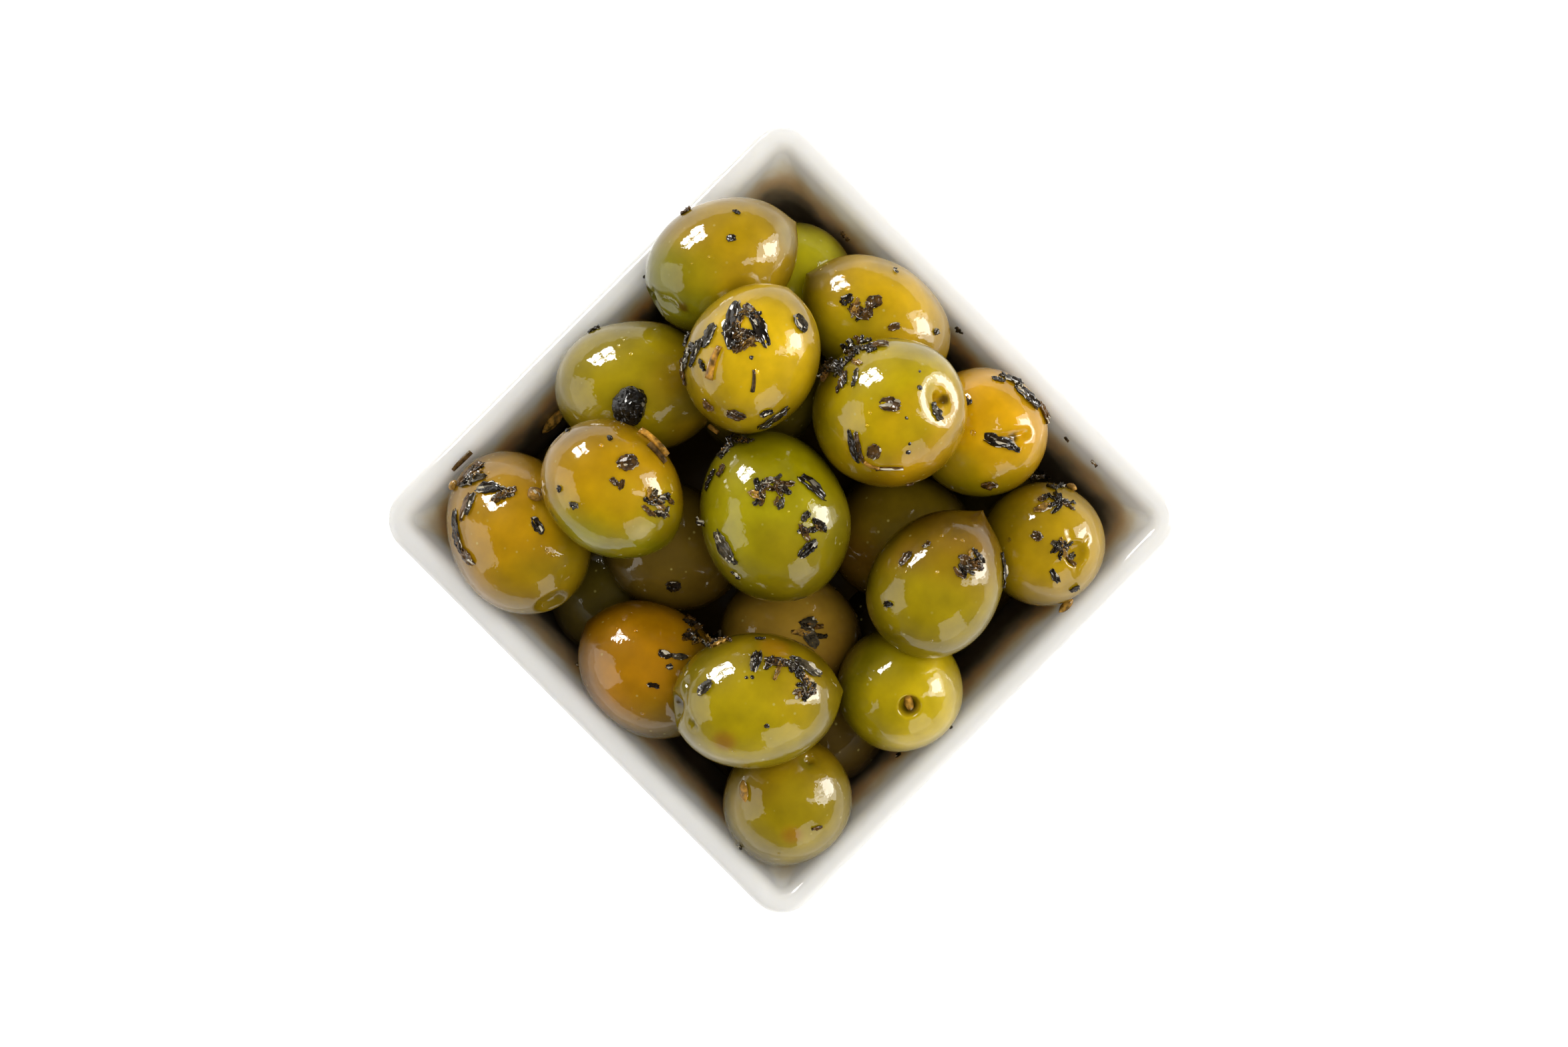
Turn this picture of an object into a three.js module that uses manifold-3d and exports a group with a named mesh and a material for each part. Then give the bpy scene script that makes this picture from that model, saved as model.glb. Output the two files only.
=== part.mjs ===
// A square white porcelain bowl, heaped with pitted green olives in oil and dried herbs.
//
// Two pieces: "bowl" is the dish, a squared-off turned shape with a rounded lip, and "olives"
// is the whole heap as one body: a mound that fills the bowl, the olives that show, and the
// herb scraps that lie on them.
//
// Millimetres, +Z up. The origin is the middle of the bowl's flat underside, and the four
// walls face +X, -X, +Y and -Y.

import * as THREE from 'three';
import { mergeVertices } from 'three/addons/utils/BufferGeometryUtils.js';
import Module from 'manifold-3d';

const wasm = await Module();
wasm.setup();

// ---------------------------------------------------------------- driving dimensions

const SIDE = 80; // outside width of the bowl, wall to wall at the lip
const HEIGHT = 40; // underside to top of the lip
const WALL = 2.8; // thickness of the wall at the lip, measured level
const FLOOR = 4; // thickness of the floor
const LEAN = 14; // degrees that the straight part of each wall leans out from upright
const CORNER = 5; // outside corner radius at the lip
const BASE_CORNER = 9; // outside corner radius at the underside
const LIP_ROUND = 1.2; // rounding on both edges of the lip
const HEEL_ROUND = 6; // rounding between the underside and the outside of the wall
const HOLLOW_ROUND = 9; // rounding between the floor and the inside of the wall

const GAP = 0.3; // clearance between the food and the porcelain
const CORE_EDGE = 20; // height at which the mound under the olives leaves the wall
const CORE_TOP = 38.5; // top of the mound, at the middle
const CORE_CORNER = 13; // corner radius of the mound where it leaves the wall

const OLIVE_SIDES = 14; // facets round an olive
const OLIVE_RINGS = 8; // facets along it
const TIP_LENGTH = 0.05; // the nub at an olive's tip, as a part of its half length
const STEM_DIMPLE = [1.4, 0.7]; // radius and depth of the scar on an olive with no pit hole
const HOLE_SHOULDER = [0.55, 0.25]; // where a hole steepens, as parts of its radius and depth

const ARC_STEPS = 5; // facets round each corner of a squared shape
const EDGE_STEPS = 2; // facets along each straight side
const HEEL_STEPS = 6; // facets round the heel
const HOLLOW_STEPS = 7; // facets round the hollow
const LIP_STEPS = 4; // facets over each rounded edge of the lip
const MOUND_STEPS = [4, 6]; // facets round the mound's foot, and over its dome

// The olives, each by the middle of its body, its length and width, the heading of its tip
// (degrees round from +X), the rise of its tip above level, and the radius and depth of the
// pit hole at its stem end, where it has one.
const OLIVES = {
  lipRest: { at: [18.8, 30.5, 45.4], size: [22.0, 17.6], turn: -15, rise: -6, hole: [2.2, 1.6] },
  underLip: { at: [25.0, 22.9, 31.4], size: [17.5, 16.2], turn: -35, rise: 0 },
  eastWall: { at: [28.4, 10.2, 40.8], size: [21.9, 17.0], turn: 100, rise: 5 },
  summit: { at: [12.3, 18.1, 54.0], size: [20.6, 17.9], turn: 18, rise: 10 },
  northWall: { at: [-1.1, 26.9, 41.6], size: [23.2, 18.4], turn: -43, rise: 0 },
  eastTop: { at: [20.2, 0.0, 51.6], size: [21.9, 20.1], turn: 148, rise: -48, hole: [2.8, 3.2] },
  slit: { at: [27.9, -10.8, 40.0], size: [20.2, 17.9], turn: 113, rise: -60, hole: [2.2, 2.4] },
  northTop: { at: [-13.5, 19.0, 50.5], size: [20.8, 17.5], turn: -87, rise: -10 },
  westCorner: { at: [-27.0, 24.6, 40.0], size: [24.5, 19.3], turn: 72, rise: -25, hole: [2.3, 1.5] },
  middle: { at: [-0.6, 1.0, 47.4], size: [23.8, 20.2], turn: 62, rise: 0 },
  eastCorner: { at: [23.1, -27.9, 38.5], size: [18.8, 17.1], turn: 117, rise: -62, hole: [1.7, 1.2] },
  southTop: { at: [8.6, -21.1, 47.2], size: [21.0, 17.9], turn: 12, rise: 0 },
  underSummit: { at: [11.0, 15.2, 37.6], size: [19.5, 17.8], turn: 20, rise: 0 },
  underSouth: { at: [10.3, -12.9, 31.0], size: [20.0, 18.1], turn: -25, rise: 0 },
  underNorth: { at: [-13.7, 8.2, 33.5], size: [19.9, 18.2], turn: -75, rise: 0 },
  underMiddle: { at: [-10.6, -12.3, 31.0], size: [20.0, 18.5], turn: -45, rise: 0 },
  westTop: { at: [-20.0, -14.9, 48.2], size: [23.0, 18.4], turn: -39, rise: -5, hole: [2.4, 1.8] },
  westWall: { at: [-27.6, -1.7, 37.9], size: [21.4, 18.0], turn: 98, rise: 0 },
  seedHole: { at: [-5.0, -28.1, 38.6], size: [20.2, 17.4], turn: -45, rise: -80, hole: [2.0, 2.6] },
  southCorner: { at: [-27.2, -28.0, 38.5], size: [19.5, 17.6], turn: -162, rise: -43, hole: [2.0, 1.2] },
  underWest: { at: [-16.8, -24.7, 26.0], size: [18.9, 17.3], turn: -45, rise: 0 },
  underWall: { at: [-24.2, 9.2, 24.5], size: [18.8, 17.3], turn: -45, rise: 0 },
};

// The herb scraps. Each row names an olive, the kind of scrap, and where it lies, as the step
// along X and Y from the middle of that olive; it drops onto the olive's upper side there.
// A clump is several leaf scraps thrown about the place. Sizes are length and width.
const HERB_KINDS = {
  clump: { size: [3.8, 2.5], pieces: 2, spread: 1.3, tilt: 34 },
  leaf: { size: [4.2, 2.0], pieces: 1, spread: 0.2, tilt: 12 },
  stem: { size: [4.0, 0.8], pieces: 1, spread: 0.1, tilt: 6 },
  seed: { size: [2.8, 1.6], pieces: 1, spread: 0.0, tilt: 0 },
  pepper: { size: [4.6, 4.2], pieces: 1, spread: 0.0, tilt: 0 },
};
const SCRAP_THICKNESS = 0.7;
const SCRAP_SINK = 0.12; // how far a scrap's middle lies under the olive's true surface
const SIZE_SPREAD = 0.2; // scraps vary in size by this part either way
const LEAF_TAPER = 0.55; // a leaf scrap narrows by this part towards its ends
const LEAF_BEND = 0.27; // most that a leaf scrap bends along its length
const LEAF_TWIST = 0.15; // most that its corners twist
const LEAF_RAGGED = 0.1; // most that its edge strays, as a part of its width
const STEM_ENDS = [0.4, 0.5]; // radii of a stalk's ends, as parts of its width
const STEM_BOW = 0.5; // most that a stalk bows sideways
const PEPPER_WRINKLE = 0.06; // most that a peppercorn's skin strays, as a part of its radius
const HERBS = [
  ['summit', 'clump', 3.6, 5.4],
  ['summit', 'clump', 3.6, 2.4],
  ['summit', 'clump', 0.7, 4.1],
  ['summit', 'clump', -3.3, 5.8],
  ['summit', 'clump', -7.0, 5.2],
  ['summit', 'stem', -4.4, 3.0],
  ['summit', 'stem', -1.9, -2.2],
  ['summit', 'leaf', -6.6, -3.4],
  ['summit', 'leaf', -3.9, -7.6],
  ['summit', 'leaf', 7.6, -0.9],
  ['northWall', 'pepper', -2.6, -0.9],
  ['northWall', 'seed', -9.4, 3.6],
  ['northTop', 'stem', 8.0, 0.9],
  ['northTop', 'stem', 8.2, -1.8],
  ['northTop', 'leaf', 4.2, 0.9],
  ['northTop', 'clump', 2.7, -5.5],
  ['northTop', 'seed', -7.8, 4.8],
  ['westCorner', 'clump', -1.4, 9.6],
  ['westCorner', 'clump', 1.2, 8.8],
  ['westCorner', 'clump', 2.3, 6.8],
  ['westCorner', 'stem', -2.4, 7.6],
  ['westCorner', 'leaf', -5.8, 5.6],
  ['westCorner', 'leaf', -6.9, 2.8],
  ['westCorner', 'leaf', 3.3, -1.2],
  ['middle', 'clump', 3.2, 9.6],
  ['middle', 'leaf', -0.7, 9.0],
  ['middle', 'clump', 1.9, 2.9],
  ['middle', 'leaf', 6.8, -0.5],
  ['middle', 'leaf', 1.5, -5.4],
  ['middle', 'leaf', -7.6, 1.8],
  ['eastTop', 'clump', -1.5, 7.9],
  ['eastTop', 'clump', 2.8, 8.4],
  ['eastTop', 'leaf', 4.9, 7.6],
  ['eastTop', 'stem', -5.9, 0.3],
  ['eastWall', 'clump', -1.8, 2.8],
  ['slit', 'leaf', 7.0, 2.8],
  ['slit', 'leaf', 7.6, -0.4],
  ['slit', 'leaf', 6.8, -3.4],
  ['slit', 'leaf', 1.3, -3.2],
  ['eastCorner', 'clump', 4.8, 6.0],
  ['eastCorner', 'clump', 5.9, 3.2],
  ['eastCorner', 'clump', 1.7, -2.0],
  ['eastCorner', 'leaf', -1.7, -3.8],
  ['eastCorner', 'stem', -2.6, -7.0],
  ['southTop', 'clump', 5.2, -1.1],
  ['southTop', 'leaf', -0.3, 5.4],
  ['southTop', 'leaf', 6.9, -4.6],
  ['westTop', 'clump', 3.9, 4.0],
  ['westTop', 'leaf', 5.9, 2.0],
  ['westTop', 'leaf', 8.2, -1.9],
  ['westTop', 'clump', 5.4, -1.7],
  ['westTop', 'leaf', -3.2, 6.2],
  ['westWall', 'leaf', 3.4, 0.1],
  ['westWall', 'leaf', 4.7, -1.5],
  ['westWall', 'leaf', -0.9, -6.2],
  ['seedHole', 'seed', 0.9, -0.9],
  ['southCorner', 'stem', -3.0, 6.1],
  ['underMiddle', 'clump', -6.3, 6.9],
  ['underMiddle', 'clump', -6.4, 5.2],
  ['underNorth', 'leaf', -4.2, -4.2],
];

// ---------------------------------------------------------------- helpers

const radians = THREE.MathUtils.degToRad;

// A small repeatable source of random numbers from 0 to 1.
let drawState = 20;
function draw() {
  drawState = (drawState * 1664525 + 1013904223) % 4294967296;
  return drawState / 4294967296;
}

// A random number from -reach to +reach.
function scatter(reach) {
  return (2 * draw() - 1) * reach;
}

// A point at an angle round a circle in the (half width, height) plane.
function pointOn(centre, radius, degrees) {
  const angle = radians(degrees);
  return [centre[0] + radius * Math.cos(angle), centre[1] + radius * Math.sin(angle)];
}

// Points along part of a circle in that plane.
function arc(centre, radius, fromDegrees, toDegrees, steps) {
  const points = [];
  for (let i = 0; i <= steps; i += 1) {
    points.push(pointOn(centre, radius, fromDegrees + ((toDegrees - fromDegrees) * i) / steps));
  }
  return points;
}

// The stations round a square with rounded corners, as the same share of every outline: each
// corner is an arc, and each straight side is split evenly between two arcs.
function squareStation(index) {
  const perCorner = ARC_STEPS + EDGE_STEPS;
  const corner = Math.floor(index / perCorner) % 4;
  const step = index % perCorner;
  const onArc = Math.min(step, ARC_STEPS);
  return { corner, arcAngle: radians((90 * onArc) / ARC_STEPS), along: (step - onArc) / EDGE_STEPS };
}

// The point of a station on a rounded square of a given half width and corner radius.
function squarePoint(station, halfWidth, cornerRadius) {
  const straight = halfWidth - cornerRadius;
  const point = new THREE.Vector2(
    straight + cornerRadius * Math.cos(station.arcAngle),
    straight + cornerRadius * Math.sin(station.arcAngle),
  );
  point.x -= 2 * straight * station.along;
  return point.rotateAround(new THREE.Vector2(0, 0), station.corner * (Math.PI / 2));
}

// A turned profile, squared off: the profile gives half width and height from the axis at the
// bottom round to the axis at the top, and cornerAt gives the corner radius of each point.
function squaredLathe(profile, cornerAt) {
  const turns = 4 * (ARC_STEPS + EDGE_STEPS);
  const geometry = new THREE.LatheGeometry(profile.map(([r, z]) => new THREE.Vector2(r, z)), turns);
  const position = geometry.attributes.position;
  for (let i = 0; i < position.count; i += 1) {
    const turn = Math.floor(i / profile.length);
    const place = i % profile.length;
    const [halfWidth, height] = profile[place];
    const corner = Math.min(cornerAt(halfWidth, height, place), halfWidth);
    const point = squarePoint(squareStation(turn % turns), halfWidth, corner);
    position.setXYZ(i, point.x, point.y, height);
  }
  return geometry;
}

// Shared corners welded, so that the shape is one closed skin.
function welded(geometry) {
  geometry.deleteAttribute('normal');
  geometry.deleteAttribute('uv');
  return mergeVertices(geometry, 1e-4);
}

// A closed skin as a solid that can be joined and cut, turned the right way round.
function solidOf(geometry) {
  const skin = welded(geometry);
  const triangles = Uint32Array.from(skin.index.array);
  const vertices = Float32Array.from(skin.attributes.position.array);
  const solid = new wasm.Manifold(
    new wasm.Mesh({ numProp: 3, vertProperties: vertices, triVerts: triangles }),
  );
  if (solid.volume() > 0) return solid;
  for (let i = 0; i < triangles.length; i += 3) {
    [triangles[i], triangles[i + 1]] = [triangles[i + 1], triangles[i]];
  }
  return new wasm.Manifold(new wasm.Mesh({ numProp: 3, vertProperties: vertices, triVerts: triangles }));
}

// A solid's skin as a geometry.
function geometryOf(solid) {
  const mesh = solid.getMesh();
  const geometry = new THREE.BufferGeometry();
  geometry.setAttribute('position', new THREE.BufferAttribute(Float32Array.from(mesh.vertProperties), 3));
  geometry.setIndex(new THREE.BufferAttribute(Uint32Array.from(mesh.triVerts), 1));
  geometry.computeVertexNormals();
  return geometry;
}

// ---------------------------------------------------------------- bowl

const OUTER_LIP = [SIDE / 2 - LIP_ROUND, HEIGHT - LIP_ROUND]; // centre of its outer rounding
const INNER_LIP = [SIDE / 2 - WALL + LIP_ROUND, HEIGHT - LIP_ROUND];
const leanAngle = radians(LEAN);

// The centre of the rounding at the foot of a leaning wall: the wall runs straight down from a
// point at the lip until the rounding takes it into a level floor.
function footCentre(lipPoint, floorLevel, round) {
  const run = lipPoint[1] - floorLevel - round * (1 - Math.sin(leanAngle));
  const foot = lipPoint[0] - run * Math.tan(leanAngle) - round * Math.cos(leanAngle);
  return [foot, floorLevel + round];
}

const HEEL = footCentre(pointOn(OUTER_LIP, LIP_ROUND, -LEAN), 0, HEEL_ROUND);
const HOLLOW = footCentre(pointOn(INNER_LIP, LIP_ROUND, 180 - LEAN), FLOOR, HOLLOW_ROUND);

// The bowl's skin, made larger on every face by grow.
function bowlSolid(grow = 0) {
  const outside = [
    [0, -grow],
    ...arc(HEEL, HEEL_ROUND + grow, -90, -LEAN, HEEL_STEPS),
    pointOn(OUTER_LIP, LIP_ROUND + grow, -LEAN),
    ...arc(OUTER_LIP, LIP_ROUND + grow, 0, 90, LIP_STEPS),
  ];
  const inside = [
    ...arc(INNER_LIP, LIP_ROUND + grow, 90, 180 - LEAN, LIP_STEPS),
    ...arc(HOLLOW, HOLLOW_ROUND - grow, -LEAN, -90, HOLLOW_STEPS),
    [0, FLOOR + grow],
  ];
  const outerCorner = (height) => THREE.MathUtils.lerp(BASE_CORNER, CORNER, height / HEIGHT);
  // Round a corner, the rings of the lip share one centre. Below them the corners widen.
  return solidOf(squaredLathe([...outside, ...inside], (halfWidth, height, place) => {
    if (height > HEIGHT - 2 * LIP_ROUND) return CORNER - (SIDE / 2 - halfWidth);
    if (place < outside.length) return outerCorner(height);
    return outerCorner(height) - WALL * (height / HEIGHT);
  }));
}

// ---------------------------------------------------------------- olives

// The frame of an olive: its middle, its tip along local +X, its half sizes as the scale.
function oliveMatrix({ at, size, turn, rise }) {
  const tilt = new THREE.Euler(0, radians(-rise), radians(turn), 'ZYX');
  return new THREE.Matrix4().compose(
    new THREE.Vector3(...at),
    new THREE.Quaternion().setFromEuler(tilt),
    new THREE.Vector3(size[0] / 2, size[1] / 2, size[1] / 2),
  );
}

// One olive: a turned egg with a small nub at the tip and a scar or a pit hole at the stem.
function oliveSolid(olive) {
  const [length, width] = olive.size;
  const [holeRadius, holeDepth] = olive.hole ?? STEM_DIMPLE;
  const holeShare = holeRadius / (width / 2);
  const mouth = Math.sqrt(1 - holeShare ** 2);
  const bottom = mouth - holeDepth / (length / 2);
  const profile = [
    [0, -bottom],
    [HOLE_SHOULDER[0] * holeShare, -(bottom + HOLE_SHOULDER[1] * (mouth - bottom))],
  ];
  const firstAngle = Math.asin(holeShare);
  for (let i = 0; i < OLIVE_RINGS; i += 1) {
    const angle = firstAngle + ((Math.PI - firstAngle) * i) / OLIVE_RINGS;
    profile.push([Math.sin(angle), -Math.cos(angle)]);
  }
  profile.push([0, 1 + TIP_LENGTH]);
  const geometry = new THREE.LatheGeometry(profile.map(([r, x]) => new THREE.Vector2(r, x)), OLIVE_SIDES);
  geometry.rotateZ(-Math.PI / 2);
  geometry.applyMatrix4(oliveMatrix(olive));
  return solidOf(geometry);
}

// The mound under the olives: it follows the inside of the bowl, clear of it, up to its edge,
// and then rises to the middle of the heap.
function coreSolid() {
  const [footSteps, domeSteps] = MOUND_STEPS;
  const foot = arc(HOLLOW, HOLLOW_ROUND - GAP, -90, -LEAN, footSteps);
  const bend = foot[footSteps];
  const edgeHalf = bend[0] + (CORE_EDGE - bend[1]) * Math.tan(leanAngle);
  const profile = [[0, FLOOR + GAP], ...foot];
  for (let i = 0; i <= domeSteps; i += 1) {
    const [share, rise] = pointOn([0, 0], 1, (90 * i) / domeSteps);
    profile.push([i < domeSteps ? edgeHalf * share : 0, CORE_EDGE + (CORE_TOP - CORE_EDGE) * rise]);
  }
  return solidOf(squaredLathe(profile, (halfWidth) => (CORE_CORNER * halfWidth) / edgeHalf));
}

// ---------------------------------------------------------------- herb scraps

// A scrap of dried leaf: a thin sheet, bent along and across, both faces split alike.
function leafGeometry(length, width) {
  const columns = 2;
  const rows = 1;
  const sheet = new THREE.PlaneGeometry(length, width, columns, rows);
  const upper = sheet.attributes.position;
  const bend = scatter(LEAF_BEND);
  const twist = scatter(LEAF_TWIST);
  for (let i = 0; i < upper.count; i += 1) {
    const along = upper.getX(i) / (length / 2);
    const across = upper.getY(i) / (width / 2);
    const taper = 1 - LEAF_TAPER * along ** 2;
    upper.setY(i, upper.getY(i) * taper + scatter(LEAF_RAGGED * width));
    upper.setZ(i, bend * (1 - along ** 2) + twist * along * across);
  }
  const count = upper.count;
  const vertices = [];
  for (const side of [0.5, -0.5]) {
    for (let i = 0; i < count; i += 1) {
      vertices.push(upper.getX(i), upper.getY(i), upper.getZ(i) + side * SCRAP_THICKNESS);
    }
  }
  const faces = [];
  const top = sheet.index.array;
  for (let i = 0; i < top.length; i += 3) {
    faces.push(top[i], top[i + 1], top[i + 2]);
    faces.push(top[i] + count, top[i + 2] + count, top[i + 1] + count);
  }
  // The rim runs along the top row, down the right edge, back along the bottom row and up.
  const perRow = columns + 1;
  const rim = [];
  for (let c = 0; c < columns; c += 1) rim.push(c);
  for (let r = 0; r < rows; r += 1) rim.push(columns + r * perRow);
  for (let c = columns; c > 0; c -= 1) rim.push(rows * perRow + c);
  for (let r = rows; r > 0; r -= 1) rim.push(r * perRow);
  rim.forEach((a, i) => {
    const b = rim[(i + 1) % rim.length];
    faces.push(a, b, b + count);
    faces.push(a, b + count, a + count);
  });
  const geometry = new THREE.BufferGeometry();
  geometry.setAttribute('position', new THREE.Float32BufferAttribute(vertices, 3));
  geometry.setIndex(faces);
  return geometry;
}

// A bit of dried stalk: a thin rod that bows a little.
function stemGeometry(length, width) {
  const [thinEnd, thickEnd] = STEM_ENDS;
  const geometry = new THREE.CylinderGeometry(thinEnd * width, thickEnd * width, length, 5, 2);
  geometry.rotateZ(Math.PI / 2);
  const position = geometry.attributes.position;
  const bow = scatter(STEM_BOW);
  for (let i = 0; i < position.count; i += 1) {
    const along = position.getX(i) / (length / 2);
    position.setY(i, position.getY(i) + bow * (1 - along ** 2));
  }
  return geometry;
}

// A seed: a small egg.
function seedGeometry(length, width) {
  const geometry = new THREE.SphereGeometry(0.5, 7, 4);
  geometry.rotateZ(Math.PI / 2);
  return geometry.scale(length, width, width);
}

// A peppercorn: a ball with a shrivelled skin.
function pepperGeometry(length, width) {
  const geometry = welded(new THREE.IcosahedronGeometry(0.5, 1));
  const position = geometry.attributes.position;
  for (let i = 0; i < position.count; i += 1) {
    const swell = 1 + scatter(PEPPER_WRINKLE);
    position.setXYZ(i, position.getX(i) * swell, position.getY(i) * swell, position.getZ(i) * swell);
  }
  return geometry.scale(length, width, width);
}

const SCRAP_SHAPES = { stem: stemGeometry, seed: seedGeometry, pepper: pepperGeometry };

// Where a plumb line at a step from an olive's middle meets its upper side, and which way the
// skin faces there. A step past the outline is shortened, bit by bit, until it meets the skin.
function seatOn(olive, stepX, stepY) {
  const bit = 0.02;
  const matrix = oliveMatrix(olive);
  const inverse = matrix.clone().invert();
  const ball = new THREE.Sphere(new THREE.Vector3(), 1);
  const hit = new THREE.Vector3();
  for (let reach = 1; reach > 0; reach -= bit) {
    const start = new THREE.Vector3(
      olive.at[0] + reach * stepX,
      olive.at[1] + reach * stepY,
      olive.at[2] + SIDE,
    );
    const line = new THREE.Ray(start, new THREE.Vector3(0, 0, -1)).applyMatrix4(inverse);
    if (line.intersectSphere(ball, hit)) {
      const normal = hit.clone().applyNormalMatrix(new THREE.Matrix3().getNormalMatrix(matrix));
      return { point: hit.clone().applyMatrix4(matrix), normal: normal.normalize() };
    }
  }
  throw new Error('no seat on the olive');
}

// The scraps of one row, each laid on the olive with a turn and a tilt of its own.
function scrapSolids([oliveName, kindName, stepX, stepY]) {
  const kind = HERB_KINDS[kindName];
  const solids = [];
  for (let i = 0; i < kind.pieces; i += 1) {
    const stray = kind.pieces > 1 ? kind.spread : 0;
    const seat = seatOn(OLIVES[oliveName], stepX + scatter(stray), stepY + scatter(stray));
    const size = 1 + scatter(SIZE_SPREAD);
    const shape = (SCRAP_SHAPES[kindName] ?? leafGeometry)(size * kind.size[0], size * kind.size[1]);
    const lie = new THREE.Quaternion().setFromUnitVectors(new THREE.Vector3(0, 0, 1), seat.normal);
    const own = new THREE.Euler(radians(scatter(kind.tilt)), 0, radians(scatter(180)), 'ZYX');
    lie.multiply(new THREE.Quaternion().setFromEuler(own));
    const place = seat.point.addScaledVector(seat.normal, -SCRAP_SINK);
    shape.applyMatrix4(new THREE.Matrix4().compose(place, lie, new THREE.Vector3(1, 1, 1)));
    solids.push(solidOf(shape));
  }
  return solids;
}

// The whole heap as one body: everything is joined, the porcelain and its clearance are cut
// away, and only the outer skin of the largest body is kept, so sealed hollows are filled.
function heapSolid() {
  let heap = coreSolid();
  for (const olive of Object.values(OLIVES)) heap = heap.add(oliveSolid(olive));
  for (const row of HERBS) {
    for (const scrap of scrapSolids(row)) heap = heap.add(scrap);
  }
  heap = heap.subtract(bowlSolid(GAP));
  const bodies = heap.decompose();
  bodies.sort((a, b) => b.volume() - a.volume());
  return bodies[0];
}

// ---------------------------------------------------------------- the object

function piece(name, solid, finish) {
  const mesh = new THREE.Mesh(geometryOf(solid), new THREE.MeshStandardMaterial(finish));
  mesh.name = name;
  return mesh;
}

const bowlOfOlives = new THREE.Group();
bowlOfOlives.add(
  piece('bowl', bowlSolid(), { color: 0xf5f3ee, roughness: 0.18, metalness: 0 }),
  piece('olives', heapSolid(), { color: 0xa48c1c, roughness: 0.22, metalness: 0 }),
);

export default bowlOfOlives;
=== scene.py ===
# %% [markdown]
# # A bowl of olives
#
# A small square porcelain bowl, heaped with pitted green olives in oil and dried herbs.
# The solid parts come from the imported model: a plain bowl and one rough heap. This lesson
# keeps both as the frame, and dresses them with a smooth glazed bowl, olives one by one,
# crumpled herbs and a little oil. Everything is in metres, with +Z up, and the origin is the
# middle of the bowl's flat underside. All chance starts from one seed, that of the noise too,
# so each run gives the same bowl.

# %% Load the solids
import math
import random

import bmesh
import bpy
from mathutils import Matrix, Vector, noise
from mathutils.bvhtree import BVHTree


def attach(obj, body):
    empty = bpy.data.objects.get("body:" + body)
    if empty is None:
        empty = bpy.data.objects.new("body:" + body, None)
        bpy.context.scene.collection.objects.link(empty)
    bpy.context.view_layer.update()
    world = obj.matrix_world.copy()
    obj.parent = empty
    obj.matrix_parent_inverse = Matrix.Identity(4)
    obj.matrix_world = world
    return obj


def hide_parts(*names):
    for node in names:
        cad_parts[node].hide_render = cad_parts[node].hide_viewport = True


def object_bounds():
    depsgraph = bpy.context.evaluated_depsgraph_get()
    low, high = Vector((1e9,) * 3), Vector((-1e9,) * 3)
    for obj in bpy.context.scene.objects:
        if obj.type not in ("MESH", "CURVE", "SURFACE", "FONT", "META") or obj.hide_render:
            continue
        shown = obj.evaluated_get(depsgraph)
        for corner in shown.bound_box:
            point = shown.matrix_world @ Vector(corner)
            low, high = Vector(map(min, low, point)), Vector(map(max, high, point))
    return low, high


SEED = 11
noise.seed_set(SEED)
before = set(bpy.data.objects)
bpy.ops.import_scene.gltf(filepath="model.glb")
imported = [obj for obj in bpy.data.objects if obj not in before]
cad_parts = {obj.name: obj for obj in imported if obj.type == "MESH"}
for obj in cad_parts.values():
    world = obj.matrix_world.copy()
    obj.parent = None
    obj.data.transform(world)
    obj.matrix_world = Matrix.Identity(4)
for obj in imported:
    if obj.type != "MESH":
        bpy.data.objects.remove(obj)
cad_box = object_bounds()
print("solids:", sorted(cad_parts))

# %% [markdown]
# ## Small helpers
#
# Sizes are easiest to think of in millimetres, and colours as the hex codes of a paint chart.
# A renderer wants metres and linear light, so two small functions turn one into the other.

# %% Millimetres and paint-chart colours
MM = 0.001


def mm(*values):
    """Millimetres as a vector in metres."""
    return Vector(values) * MM


def paint(code):
    """An sRGB hex code as linear light, with full cover."""
    parts = [int(code[i : i + 2], 16) / 255 for i in (1, 3, 5)]
    linear = [p / 12.92 if p <= 0.04045 else ((p + 0.055) / 1.055) ** 2.4 for p in parts]
    return (*linear, 1.0)


def smooth_step(low, high, value):
    """0 below low, 1 above high, and an even S between them."""
    t = min(max((value - low) / (high - low), 0.0), 1.0)
    return t * t * (3 - 2 * t)


print("mid grey #808080 is", round(paint("#808080")[0], 3), "in linear light")

# %% [markdown]
# A material is a small graph of nodes. One helper adds a node, with its settings and with
# each socket filled by a number or joined to another node's output.

# %% One helper for nodes
def add_node(tree, kind, inputs=None, **settings):
    node = tree.nodes.new(kind)
    for name, value in settings.items():
        setattr(node, name, value)
    for socket, value in (inputs or {}).items():
        if isinstance(value, bpy.types.NodeSocket):
            tree.links.new(value, node.inputs[socket])
        else:
            node.inputs[socket].default_value = value
    return node


def new_material(name):
    """An empty material: its node tree, and where each point lies on the object."""
    material = bpy.data.materials.new(name)
    material.use_nodes = True
    tree = material.node_tree
    tree.nodes.clear()
    where = add_node(tree, "ShaderNodeTexCoord").outputs["Object"]
    return material, tree, where


def finish_material(tree, inputs):
    """Puts the main shader and the output at the end of the graph."""
    shader = add_node(tree, "ShaderNodeBsdfPrincipled", inputs)
    add_node(tree, "ShaderNodeOutputMaterial", {"Surface": shader.outputs["BSDF"]})
    print("a finish of", len(tree.nodes), "nodes")
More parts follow.
